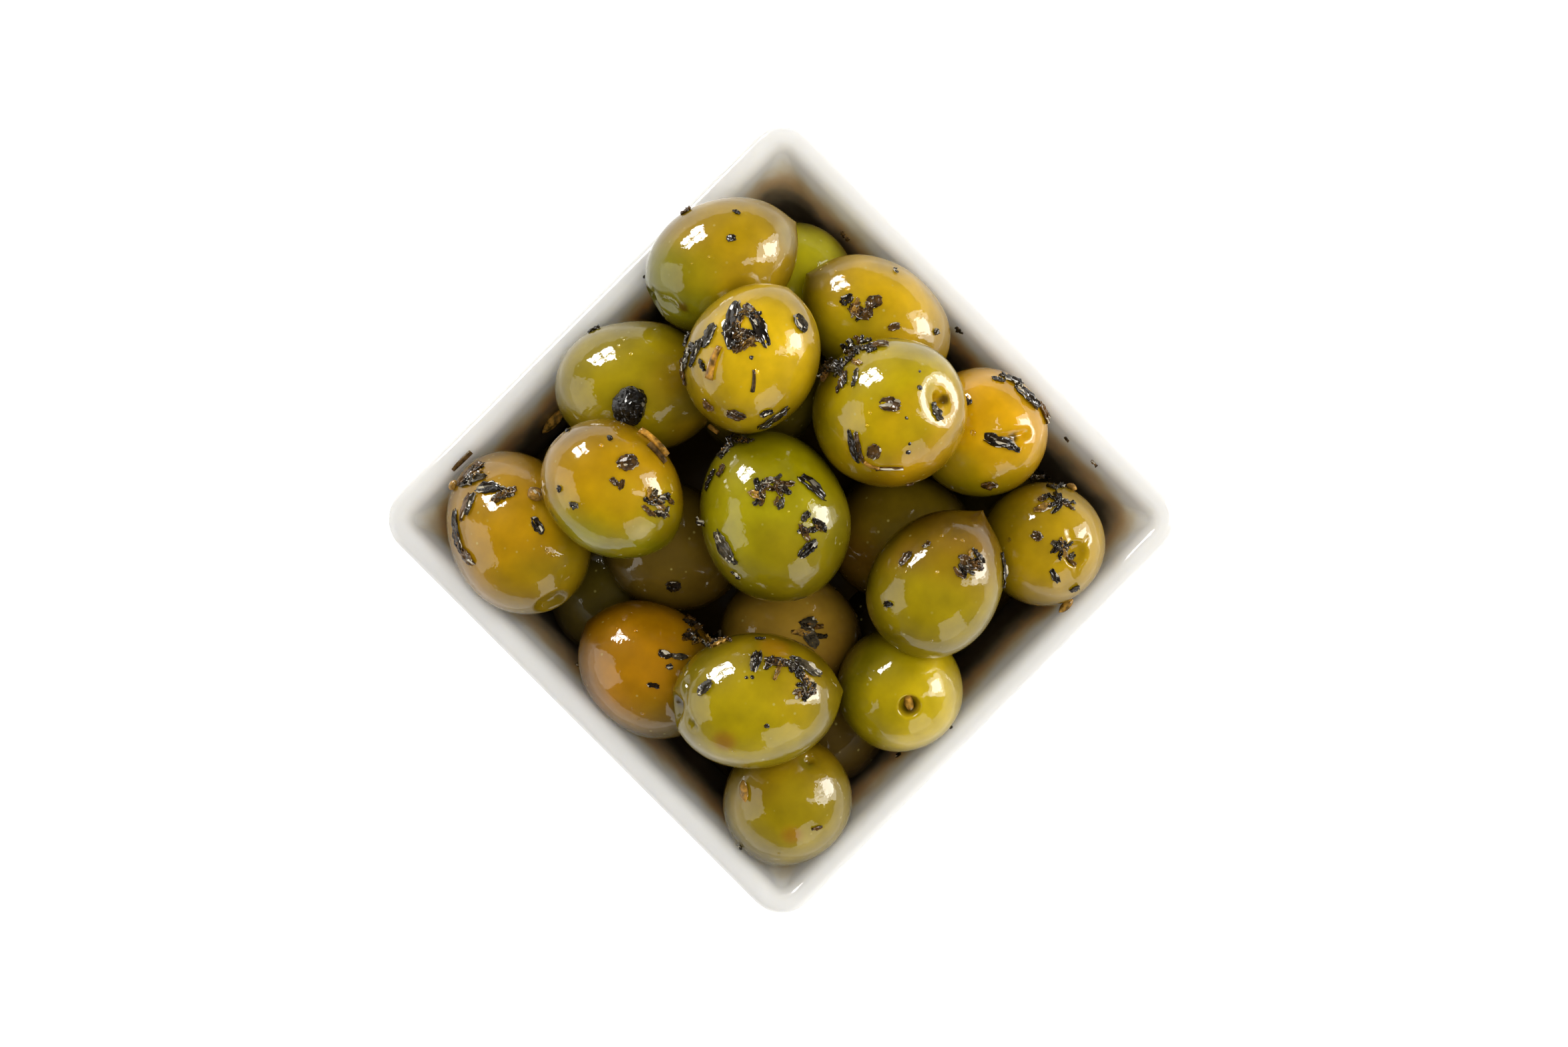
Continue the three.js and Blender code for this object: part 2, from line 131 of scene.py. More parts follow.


# %% [markdown]
# A piece is a mesh object that stands at the origin, with its place in its mesh. It rides on
# the one body of the model, and it has one material.

# %% One helper for pieces
def make_piece(name, mesh_maker, material, node=None):
    mesh = bpy.data.meshes.new(name)
    mesh_maker.to_mesh(mesh)
    mesh_maker.free()
    mesh.polygons.foreach_set("use_smooth", [True] * len(mesh.polygons))
    mesh.materials.append(material)
    piece = bpy.data.objects.new(name, mesh)
    bpy.context.scene.collection.objects.link(piece)
    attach(piece, "root")
    if node:
        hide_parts(node)
    print(name, "has", len(mesh.polygons), "faces")
    return piece


# %% [markdown]
# ## Viewpoint
#
# The bowl is looked at from straight above, about half a metre away, and turned so that one
# corner points up the frame. Places on the table are given as steps right and up the frame,
# in millimetres on the plane of the lip; `plan` turns such a step into a point.

# %% Camera
EYE = mm(-7.1, -0.3, 491.0)
AIM = mm(-0.2, -0.6, 40.0)
LENS = 74.8
UP_THE_FRAME = Vector((1, 1, 0)).normalized()
RIGHT_OF_FRAME = Vector((1, -1, 0)).normalized()
LIP_HEIGHT = 40.0


def plan(right, up, height=LIP_HEIGHT):
    return (RIGHT_OF_FRAME * right + UP_THE_FRAME * up + Vector((0, 0, height))) * MM


def look(eye, aim, up):
    """The turn and place of something at eye that looks at aim."""
    back = (eye - aim).normalized()
    right = up.cross(back).normalized()
    turn = Matrix((right, back.cross(right), back)).transposed().to_4x4()
    return Matrix.Translation(eye) @ turn


camera_data = bpy.data.cameras.new("camera")
camera_data.lens = LENS
camera_data.clip_start = 0.01
camera = bpy.data.objects.new("camera", camera_data)
camera.matrix_world = look(EYE, AIM, UP_THE_FRAME)
bpy.context.scene.collection.objects.link(camera)
bpy.context.scene.camera = camera
bpy.context.scene.view_settings.view_transform = "Standard"
print("camera stands", round((EYE - AIM).length, 3), "m from the lip")

# %% [markdown]
# ## Light and floor
#
# Wet olives show the whole room in small. A window with four panes stands on the upper left
# and gives each olive its bright spark. On the right is a wide bright opening, with a hot core
# and a tall narrow gap beside it. Dimmer cards stand on the left and on the lower right, and
# overhead it is dark. These are only mirrored. Three soft lights are only felt by matt colours:
# two stand in for the window and the opening, and one overhead reaches down between the olives.
# Heights and distances of the lights are in metres.

# %% One helper for lights
DAYLIGHT = paint("#FFFDF8")[:3]
CREAM = paint("#FFF8EC")[:3]


def panel(name, bearing, distance, bottom, top, width, glow, colour=DAYLIGHT):
    """An upright light, facing the bowl. Bearing is in degrees round from the frame's right."""
    direction = RIGHT_OF_FRAME * math.cos(math.radians(bearing))
    direction += UP_THE_FRAME * math.sin(math.radians(bearing))
    light = bpy.data.lights.new(name, "AREA")
    light.shape = "RECTANGLE"
    light.size = width
    light.size_y = top - bottom
    light.energy = glow * width * (top - bottom) * math.pi
    light.color = colour
    lamp = bpy.data.objects.new(name, light)
    middle = Vector((0, 0, (bottom + top) / 2))
    lamp.matrix_world = look(direction * distance + middle, middle, Vector((0, 0, 1)))
    lamp.visible_camera = False
    bpy.context.scene.collection.objects.link(lamp)
    return lamp


# %% The lights that are mirrored
WINDOW_BEARING = 126
WINDOW_DISTANCE = 1.5
WINDOW_BOTTOM = 0.28
PANE = (0.33, 0.34)
PANE_GLOW = 30
BAR = 0.05
for column in (-1, 1):
    for row in (0, 1):
        wide, tall = PANE
        low = WINDOW_BOTTOM + row * (tall + BAR)
        aside = math.degrees(math.atan(column * (wide + BAR) / 2 / WINDOW_DISTANCE))
        bearing = WINDOW_BEARING + aside
        panel(f"pane_{column}_{row}", bearing, WINDOW_DISTANCE, low, low + tall, wide, PANE_GLOW)
OPENING_BEARING = 11
MIRRORED = [
    # name, bearing, distance, bottom, top, width, glow
    ("bright_opening", OPENING_BEARING, 1.2, -0.1, 0.9, 0.75, 5.0),
    ("opening_core", OPENING_BEARING, 1.19, 0.12, 0.66, 0.42, 11.0),
    ("tall_gap", 358, 1.21, 0.5, 1.7, 0.2, 4.0),
    ("left_card", 189, 1.0, -0.1, 0.84, 0.92, 1.8),
    ("right_card", 299, 1.0, -0.1, 0.66, 0.58, 1.8),
]
for row in MIRRORED:
    panel(*row)
mirrored = [o for o in bpy.context.scene.objects if o.type == "LIGHT"]
for lamp in mirrored:
    lamp.visible_diffuse = False
print(len(mirrored), "lights are mirrored")

# %% The lights that matt colours feel
CEILING_STEP = (400, -200)
CEILING_HEIGHT = 1200
window_glow = panel("window_glow", WINDOW_BEARING, WINDOW_DISTANCE, 0.3, 1.1, 0.9, 4.0)
right_glow = panel("right_glow", OPENING_BEARING, 1.2, -0.1, 0.9, 1.15, 3.4, CREAM)
ceiling = panel("ceiling_glow", 0, 1.0, 0.0, 1.6, 1.6, 2.15)
ceiling.matrix_world = look(
    plan(*CEILING_STEP, CEILING_HEIGHT), plan(*CEILING_STEP, 0), UP_THE_FRAME
)
felt = (window_glow, right_glow, ceiling)
for lamp in felt:
    lamp.visible_glossy = False
print(len(felt), "lights are felt by matt colours")

# %% [markdown]
# Between the lights the room is plain grey air, paler near the table than overhead. A ramp on
# the height of each direction gives that fade.

# %% Room air
world = bpy.data.worlds.new("room")
bpy.context.scene.world = world
world.use_nodes = True
room = world.node_tree
room.nodes.clear()
direction = add_node(room, "ShaderNodeTexCoord").outputs["Generated"]
height = add_node(room, "ShaderNodeSeparateXYZ", {0: direction}).outputs["Z"]
fade = add_node(
    room, "ShaderNodeMapRange", {"Value": height, "From Min": 0.0, "From Max": 0.6}
).outputs[0]
sky = add_node(
    room, "ShaderNodeMix", {0: fade, 6: paint("#8A8884"), 7: paint("#34322F")}, data_type="RGBA"
)
air = add_node(room, "ShaderNodeBackground", {"Color": sky.outputs[2], "Strength": 1.0})
add_node(room, "ShaderNodeOutputWorld", {"Surface": air.outputs[0]})
print("the room has", len(room.nodes), "nodes")

# %% [markdown]
# The floor is a sheet of white acrylic with a little light of its own, like a light table. It
# keeps shadows faint and the ground white all round the bowl, and a faint grain stops it from
# being perfectly even.

# %% Pale floor
FLOOR_SIZE = 3.0
FLOOR_GRAIN = 25 * MM
light_table, tree, where = new_material("white_acrylic_light_table")
grain = add_node(tree, "ShaderNodeTexNoise", {"Vector": where, "Scale": 1 / FLOOR_GRAIN}).outputs[0]
tint = add_node(
    tree, "ShaderNodeMix", {0: grain, 6: paint("#F6F5F3"), 7: paint("#F9F8F6")}, data_type="RGBA"
)
finish_material(
    tree,
    {
        "Base Color": tint.outputs[2],
        "Roughness": 0.9,
        "Emission Color": paint("#FFFFFF"),
        "Emission Strength": 0.45,
    },
)
floor_maker = bmesh.new()
bmesh.ops.create_grid(floor_maker, x_segments=1, y_segments=1, size=FLOOR_SIZE / 2)
floor_mesh = bpy.data.meshes.new("floor")
floor_maker.to_mesh(floor_mesh)
floor_maker.free()
floor_mesh.materials.append(light_table)
floor = bpy.data.objects.new("floor", floor_mesh)
bpy.context.scene.collection.objects.link(floor)
print("the floor is", FLOOR_SIZE, "m wide")

# %% [markdown]
# ## The bowl
#
# A square bowl is still thought of as a turned one: draw half its section, spin it, and then
# push the round shape out into a square with rounded corners. The section runs from the
# middle of the underside, round the heel, up the outside of the wall, which leans out by 14
# degrees, over the lip, which has a narrow level top and then rolls over softly inwards, down
# the inside and round to the middle of the floor.

# %% Section of the bowl
SIDE = 80.0
WALL = 2.8
FLOOR_THICKNESS = 4.0
LEAN = 14.0
LIP_ROUND = 1.2
LEVEL_LIP = 0.6
HEEL_ROUND = 6.0
HOLLOW_ROUND = 9.0
ROLL = 2.0
ROLL_DEPTH = 4.0
ROLL_END = 155
CORNER = 5.0
BASE_CORNER = 9.0


def point_on(centre, radius, degrees, stretch=1.0):
    """A point of (half width, height) at an angle round a circle, or round a tall ellipse."""
    turn = math.radians(degrees)
    return (centre[0] + radius * math.cos(turn), centre[1] + radius * stretch * math.sin(turn))


def arc(centre, radius, start, end, steps, stretch=1.0):
    """Points along part of a circle, or of a tall ellipse."""
    turns = [start + (end - start) * i / steps for i in range(steps + 1)]
    return [point_on(centre, radius, turn, stretch) for turn in turns]


def foot_centre(lip_point, floor_level, radius):
    """The centre of the rounding that takes a leaning wall into a level floor."""
    lean = math.radians(LEAN)
    run = lip_point[1] - floor_level - radius * (1 - math.sin(lean))
    return (lip_point[0] - run * math.tan(lean) - radius * math.cos(lean), floor_level + radius)


outer_lip = (SIDE / 2 - LIP_ROUND, LIP_HEIGHT - LIP_ROUND)
inner_lip = (SIDE / 2 - WALL + LIP_ROUND, LIP_HEIGHT - LIP_ROUND)
heel = foot_centre(point_on(outer_lip, LIP_ROUND, -LEAN), 0.0, HEEL_ROUND)
hollow = foot_centre(point_on(inner_lip, LIP_ROUND, 180 - LEAN), FLOOR_THICKNESS, HOLLOW_ROUND)


def wall_run(low, high, steps):
    """Points evenly up a straight wall, without its two ends."""
    return [tuple(Vector(low).lerp(Vector(high), i / steps)) for i in range(1, steps)]


outside = [(0, 0), *arc(heel, HEEL_ROUND, -90, -LEAN, 12)]
outside += wall_run(outside[-1], point_on(outer_lip, LIP_ROUND, -LEAN), 8)
outside += [point_on(outer_lip, LIP_ROUND, -LEAN), *arc(outer_lip, LIP_ROUND, 0, 90, 8)]
roll_centre = (SIDE / 2 - LIP_ROUND - LEVEL_LIP, LIP_HEIGHT - ROLL_DEPTH)
inside = arc(roll_centre, ROLL, 90, ROLL_END, 10, ROLL_DEPTH / ROLL)
inside += wall_run(inside[-1], point_on(hollow, HOLLOW_ROUND, -LEAN), 8)
inside += [*arc(hollow, HOLLOW_ROUND, -LEAN, -90, 12), (0, FLOOR_THICKNESS)]
print("the section has", len(outside) + len(inside), "points")

# %% [markdown]
# The stations round the square are shared by every ring: each corner is an arc, and each
# straight side is split evenly. That keeps the edges running cleanly up the corners.

# %% Stations round the square
CORNER_STEPS = 10
SIDE_STEPS = 6
STATIONS = 4 * (CORNER_STEPS + SIDE_STEPS)


def squared_point(station, half_width, corner):
    """Where one station lies on a square of this half width with rounded corners."""
    quarter, step = divmod(station % STATIONS, CORNER_STEPS + SIDE_STEPS)
    on_arc = min(step, CORNER_STEPS)
    turn = math.pi / 2 * on_arc / CORNER_STEPS
    corner = min(corner, half_width)
    straight = half_width - corner
    point = Vector((straight + corner * math.cos(turn), straight + corner * math.sin(turn)))
    point.x -= 2 * straight * (step - on_arc) / SIDE_STEPS
    return Matrix.Rotation(quarter * math.pi / 2, 2) @ point


print(STATIONS, "stations round each ring")


# %% Spin the section, then square it off
def squared_spin(section, corner_at):
    """A spun section whose rings are pushed out into rounded squares."""
    maker = bmesh.new()
    place = maker.verts.layers.int.new("place")
    previous = None
    for index, (radius, level) in enumerate(section):
        point = maker.verts.new((radius, 0, level))
        point[place] = index
        if previous:
            maker.edges.new((previous, point))
        previous = point
    bmesh.ops.spin(
        maker,
        geom=maker.verts[:] + maker.edges[:],
        cent=(0, 0, 0),
        axis=(0, 0, 1),
        dvec=(0, 0, 0),
        angle=2 * math.pi,
        steps=STATIONS,
        use_merge=True,
    )
    for vert in maker.verts:
        radius, level = section[vert[place]]
        station = round(math.atan2(vert.co.y, vert.co.x) / (2 * math.pi) * STATIONS)
        flat = squared_point(station, radius, corner_at(vert[place], radius, level))
        vert.co = mm(flat.x, flat.y, level)
    bmesh.ops.remove_doubles(maker, verts=maker.verts, dist=0.001 * MM)
    bmesh.ops.recalc_face_normals(maker, faces=maker.faces)
    return maker


LIP_BLEND = (LIP_HEIGHT - 4.0, LIP_HEIGHT - 2.0)


def bowl_corner(place, radius, level):
    """Rings of the lip share one centre at a corner. Below them the corners widen."""
    outer = BASE_CORNER + (CORNER - BASE_CORNER) * level / LIP_HEIGHT
    on_wall = outer if place < len(outside) else outer - WALL * level / LIP_HEIGHT
    on_lip = CORNER - (SIDE / 2 - radius)
    return on_wall + (on_lip - on_wall) * smooth_step(*LIP_BLEND, level)


bowl_maker = squared_spin(outside + inside, bowl_corner)
print("the bowl has", len(bowl_maker.verts), "points")

# %% [markdown]
# ### Glazed porcelain
#
# Porcelain is fired white clay under a coat of clear glaze. The clay gives a soft white, and
# light goes some millimetres into it, so a thin wall glows a little on its shaded side. The
# glaze is a smooth mirror on top, with the faint sag of a melt a few millimetres across.

# %% Clay and glaze
white_porcelain, tree, where = new_material("glazed_white_porcelain")
glaze_sag = add_node(
    tree, "ShaderNodeTexNoise", {"Vector": where, "Scale": 1 / (9 * MM), "Detail": 1.0}
).outputs[0]
clay_cloud = add_node(
    tree, "ShaderNodeTexNoise", {"Vector": where, "Scale": 1 / (14 * MM), "Detail": 2.0}
).outputs[0]
clay = add_node(
    tree, "ShaderNodeMix", {0: clay_cloud, 6: paint("#F1F1F0"), 7: paint("#F5F5F4")},
    data_type="RGBA",
).outputs[2]
sag = add_node(
    tree, "ShaderNodeBump", {"Height": glaze_sag, "Strength": 0.25, "Distance": 0.3 * MM}
).outputs[0]
print("clay and glaze take", len(tree.nodes), "nodes")

# %% [markdown]
# Inside, the marinade leaves a thin film. It starts along a wavy line below the lip, pale at
# first, and turns dark brown lower down, which is partly marinade and partly painted shade of
# the deep bowl. Height does for both, with slow noise on it, and a mark on the points of the
# inner wall keeps the film off the outside.

# %% Film of marinade, and painted shade lower down
LIP_RINGS = 5
SMEAR = 6 * MM
FILM_FROM, FILM_FULL = 40.5 * MM, 34.0 * MM
POOL_SHADE_FROM, POOL_SHADE_FULL = 35.5 * MM, 27.0 * MM
cavity = bowl_maker.verts.layers.float.new("cavity")
place = bowl_maker.verts.layers.int["place"]
for vert in bowl_maker.verts:
    vert[cavity] = 1.0 if vert[place] >= len(outside) + LIP_RINGS else 0.0
level = add_node(tree, "ShaderNodeSeparateXYZ", {0: where}).outputs["Z"]
smear = add_node(
    tree, "ShaderNodeTexNoise", {"Vector": where, "Scale": 1 / (5 * MM), "Detail": 3.0}
).outputs[0]
wavy_level = add_node(
    tree,
    "ShaderNodeMath",
    {0: smear, 1: SMEAR, 2: level},
    operation="MULTIPLY_ADD",
).outputs[0]
depth = add_node(
    tree,
    "ShaderNodeMapRange",
    {"Value": wavy_level, "From Min": FILM_FROM, "From Max": FILM_FULL},
    interpolation_type="SMOOTHSTEP",
).outputs[0]
indoors = add_node(tree, "ShaderNodeAttribute", attribute_name="cavity").outputs["Fac"]
film = add_node(tree, "ShaderNodeMath", {0: depth, 1: indoors}, operation="MULTIPLY").outputs[0]
pooled_shade = add_node(
    tree,
    "ShaderNodeMapRange",
    {"Value": wavy_level, "From Min": POOL_SHADE_FROM, "From Max": POOL_SHADE_FULL},
    interpolation_type="SMOOTHSTEP",
).outputs[0]
# Painted shade: the film is darker brown lower down in the bowl.
marinade_and_shade = add_node(
    tree, "ShaderNodeMix", {0: pooled_shade, 6: paint("#D4C19B"), 7: paint("#5F5341")}, data_type="RGBA"
).outputs[2]
oiled = add_node(
    tree, "ShaderNodeMix", {0: film, 6: clay, 7: marinade_and_shade}, data_type="RGBA"
).outputs[2]
print("the film takes the count to", len(tree.nodes), "nodes")

# %% Finish the bowl
finish_material(
    tree,
    {
        "Base Color": oiled,
        "Roughness": 0.5,
        "Subsurface Weight": 0.85,
        "Subsurface Radius": (1.0, 0.95, 0.85),
        "Subsurface Scale": 6.0 * MM,
        "Specular IOR Level": 0.1,
        "Coat Weight": 1.0,
        "Coat Roughness": 0.06,
        "Coat IOR": 1.5,
        "Coat Normal": sag,
    },
)
bowl = make_piece("porcelain_bowl", bowl_maker, white_porcelain, "bowl")

# %% [markdown]
# ## The olives
#
# Each olive is a row of facts: where its middle is, its length and width, the heading and
# rise of its tip, and its pit hole. The two skin colours, and the side on which the second
# one lies, come next: `side` is a bearing in the frame, like those of the lights. These are
# the same places as in the solid heap, so every olive lies where its solid does.

# %% The rows
OLIVES = {
    "lip_rest": {
        "at": (18.8, 30.5, 45.4), "size": (22.0, 17.6), "turn": -15, "rise": -6,
        "hole": (2.2, 1.6), "tip": 0.07, "skins": ("#B89406", "#8C8709"), "side": 235,
    },
    "under_lip": {
        "at": (25.0, 22.9, 31.4), "size": (17.5, 16.2), "turn": -35, "rise": 0,
        "skins": ("#BFB40A", "#938708"), "side": 225,
    },
    "east_wall": {
        "at": (28.4, 10.2, 40.8), "size": (21.9, 17.0), "turn": 100, "rise": 5,
        "tip": 0.06, "skins": ("#D3A90A", "#9B8C09"), "side": 220,
    },
    "summit": {
        "at": (12.3, 18.1, 54.0), "size": (20.6, 17.9), "turn": 18, "rise": 10,
        "skins": ("#E7BD0F", "#C4A20D"), "side": 250,
    },
    # north_wall's darker second skin, on the side toward the summit, is painted shade.
    "north_wall": {
        "at": (-1.1, 26.9, 41.6), "size": (23.2, 18.4), "turn": -43, "rise": 0,
        "skins": ("#AE9806", "#8A6D08"), "side": 340,
    },
    "east_top": {
        "at": (20.2, 0.0, 51.6), "size": (21.9, 20.1), "turn": 148, "rise": -48,
        "hole": (2.9, 3.2), "funnel": True, "skins": ("#C0A704", "#C89A05"), "side": 300,
    },
    "slit": {
        "at": (27.9, -10.8, 40.0), "size": (20.2, 17.9), "turn": 113, "rise": -60,
        "hole": (2.2, 0.7), "funnel": True, "skins": ("#E3AA03", "#A58E06"), "side": 250,
    },
    "north_top": {
        "at": (-13.5, 19.0, 50.5), "size": (20.8, 17.5), "turn": -87, "rise": -10,
        "skins": ("#C89903", "#A29904"), "side": 265,
    },
    "west_corner": {
        "at": (-27.0, 24.6, 40.0), "size": (24.5, 19.3), "turn": 72, "rise": -25,
        "hole": (2.3, 1.5), "skins": ("#BF8F03", "#957A09"), "side": 330,
    },
    "middle": {
        "at": (-0.6, 1.0, 47.4), "size": (23.8, 20.2), "turn": 62, "rise": 0,
        "skins": ("#AFA203", "#968307"), "side": 300,
    },
    "east_corner": {
        "at": (23.1, -27.9, 38.5), "size": (18.8, 17.1), "turn": 117, "rise": -62,
        "hole": (1.7, 1.2), "skins": ("#BF9A0C", "#876F09"), "side": 170,
    },
    "south_top": {
        "at": (8.6, -21.1, 47.2), "size": (21.0, 17.9), "turn": 12, "rise": 0,
        "tip": 0.12, "skins": ("#A69005", "#8E680A"), "side": 80,
    },
    "west_top": {
        "at": (-20.0, -14.9, 48.2), "size": (23.0, 18.4), "turn": -39, "rise": -5,
        "hole": (2.4, 1.8), "tip": 0.06, "skins": ("#B09A04", "#B19306"), "side": 60,
    },
    "west_wall": {
        "at": (-27.6, -1.7, 37.9), "size": (21.4, 18.0), "turn": 98, "rise": 0,
        "skins": ("#B87F02", "#725D07"), "side": 320,
    },
    "seed_hole": {
        "at": (-5.0, -28.1, 38.6), "size": (20.2, 17.4), "turn": 69, "rise": -77,
        "hole": (1.45, 2.4), "skins": ("#CAAF07", "#8C7E09"), "side": 165,
    },
    "south_corner": {
        "at": (-27.2, -28.0, 38.5), "size": (19.5, 17.6), "turn": -162, "rise": -43,
        "hole": (2.0, 1.1), "funnel": True, "skins": ("#9D8706", "#95750B"), "side": 100,
    },
    "under_summit": {
        "at": (11.0, 15.2, 37.6), "size": (19.5, 17.8), "turn": 20, "rise": 0,
        "skins": ("#766716", "#625414"), "side": 270,
    },
    "under_south": {
        "at": (10.3, -12.9, 31.0), "size": (20.0, 18.1), "turn": -25, "rise": 0,
        "skins": ("#7B6510", "#63460C"), "side": 200,
    },
    "under_north": {
        "at": (-13.7, 8.2, 33.5), "size": (19.9, 18.2), "turn": -75, "rise": 0,
        "skins": ("#6B5516", "#584310"), "side": 300,
    },
    "under_middle": {
        "at": (-10.6, -12.3, 31.0), "size": (20.0, 18.5), "turn": -45, "rise": 0,
        "skins": ("#AA852A", "#8C6822"), "side": 300,
    },
    "under_west": {
        "at": (-16.8, -24.7, 26.0), "size": (18.9, 17.3), "turn": -45, "rise": 0,
        "skins": ("#624C16", "#584414"), "side": 0,
    },
    "under_wall": {
        "at": (-24.2, 9.2, 24.5), "size": (18.8, 17.3), "turn": -45, "rise": 0,
        "skins": ("#5E5016", "#524614"), "side": 0,
    },
}
print(len(OLIVES), "olives show")

# %% [markdown]
# ### Shape of one olive
#
# Half the section of an olive is an ellipse, a little slimmer towards its tip, with a small
# nub there. At the stem end it turns in: a shallow scar, or the hole that the pitting machine
# leaves, which is a crater with a steep throat or a soft funnel. Spun round, that gives a perfect
# olive, so slow noise then pushes the skin about by a fifth of a millimetre.

# %% Section of an olive
OLIVE_RINGS = 56
STEM_SCAR = (1.3, 0.5)
CRATER = ((1.45, -0.02), (1.25, -0.035), (1.1, 0.0), (1.0, 0.1), (0.9, 0.28), (0.8, 0.5))
CRATER += ((0.7, 0.72), (0.58, 0.88), (0.42, 0.97), (0.2, 1.0), (0.0, 1.02))
FUNNEL = ((1.6, 0.0), (1.4, 0.02), (1.2, 0.06), (1.0, 0.12), (0.8, 0.19), (0.6, 0.27))
FUNNEL += ((0.46, 0.34), (0.36, 0.44), (0.28, 0.6), (0.2, 0.8), (0.12, 0.95), (0.0, 1.0))
EGG = 0.035
NUB = 0.03
NUB_SPREAD = 0.16


def olive_section(row):
    """Points of (distance along, radius) from the tip to the stem, in millimetres."""
    length, width = row["size"][0] / 2, row["size"][1] / 2
    radius, depth = row.get("hole", STEM_SCAR)
    hollow_shape = FUNNEL if row.get("funnel") else CRATER
    brim = math.asin(hollow_shape[0][0] * radius / width)
    nub = row.get("tip", NUB)
    points = []
    for ring in range(OLIVE_RINGS + 1):
        turn = (math.pi - brim) * ring / OLIVE_RINGS
        along = math.cos(turn) * (1 + nub * math.exp(-turn / NUB_SPREAD))
        points.append((length * along, width * math.sin(turn) * (1 - EGG * math.cos(turn))))
    for share, sink in hollow_shape[1:]:
        turn = math.asin(min(share * radius / width, 1))
        level = -length * math.cos(turn) + depth * sink
        points.append((level, width * math.sin(turn) * (1 + EGG * math.cos(turn))))
    points[0] = (points[0][0], 0.0)
    points[-1] = (points[-1][0], 0.0)
    return points


print("an olive's section has", len(olive_section(OLIVES["summit"])), "points")

# %% Turn one olive
OLIVE_SIDES = 80
LUMP = 0.22
LUMP_SIZE = 9 * MM


def olive_place(row):
    """The turn and place of an olive whose tip points along its own X."""
    place = Matrix.Translation(mm(*row["at"]))
    place @= Matrix.Rotation(math.radians(row["turn"]), 4, "Z")
    return place @ Matrix.Rotation(math.radians(-row["rise"]), 4, "Y")


def spin_olive(row):
    """One olive, turned and lumpy, in its place."""
    olive = bmesh.new()
    previous = None
    for along, radius in olive_section(row):
        point = olive.verts.new(mm(along, 0, radius))
        if previous:
            olive.edges.new((previous, point))
        previous = point
    bmesh.ops.spin(
        olive,
        geom=olive.verts[:] + olive.edges[:],
        cent=(0, 0, 0),
        axis=(1, 0, 0),
        dvec=(0, 0, 0),
        angle=2 * math.pi,
        steps=OLIVE_SIDES,
        use_merge=True,
    )
    bmesh.ops.remove_doubles(olive, verts=olive.verts, dist=0.001 * MM)
    bmesh.ops.recalc_face_normals(olive, faces=olive.faces)
    bmesh.ops.transform(olive, matrix=olive_place(row), verts=olive.verts)
    for point in olive.verts:
        point.co += noise.noise_vector(point.co / LUMP_SIZE) * LUMP * MM
    return olive


print(OLIVE_SIDES, "sides round an olive")

# %% [markdown]
# ### Marks on the skin
#
# No two olives are alike. A mark names its olive and its place as a step right and up the
# frame from the olive's middle, and is pressed into the upper skin there: a dent, a crease
# between two places, or a blush, which is a patch of another colour. Most blushes are the skin's
# own patches, but the dark ones in holes, in the slit and in a cleft are painted shade, one on
# north_wall is the painted shadow of the summit, and a cream one is a painted reflection. Every
# skin also gets painted shade: it is darker down its flanks, and low in the bowl.

# %% The marks
DENTS = [
    # olive, right, up, radius, depth
    ("lip_rest", -7.2, -5.6, 1.6, 0.5),
    ("west_top", -10.4, -0.6, 1.6, 1.3),
    ("east_corner", 3.4, -1.2, 1.0, 0.35),
    ("slit", 2.6, 0.4, 1.3, 0.5),
    ("north_top", 4.0, -5.6, 1.4, 0.18),
    ("west_wall", 4.6, -5.0, 1.6, 0.25),
    ("south_corner", 4.7, 1.2, 1.6, 0.15),
    ("south_top", -4.4, 4.6, 1.8, 0.15),
]
CREASES = [
    # olive, from right and up, to right and up, half width, depth
    ("lip_rest", -9.4, -4.0, -4.4, -7.6, 0.55, 0.45),
    ("west_top", -9.6, 2.6, -8.6, -3.4, 0.5, 0.9),
    ("slit", 0.6, -1.2, 5.8, -0.6, 0.6, 0.9),
    ("seed_hole", -4.6, 3.4, -4.4, -1.6, 0.35, -0.14),
    ("east_corner", 1.6, -2.6, 5.6, 0.6, 0.4, 0.3),
    ("east_corner", 3.0, 1.4, 4.2, -3.6, 0.4, 0.3),
    ("west_wall", 5.4, -3.4, 7.0, -7.2, 0.4, 0.2),
    ("west_wall", 4.2, -4.4, 5.8, -8.0, 0.4, 0.2),
]
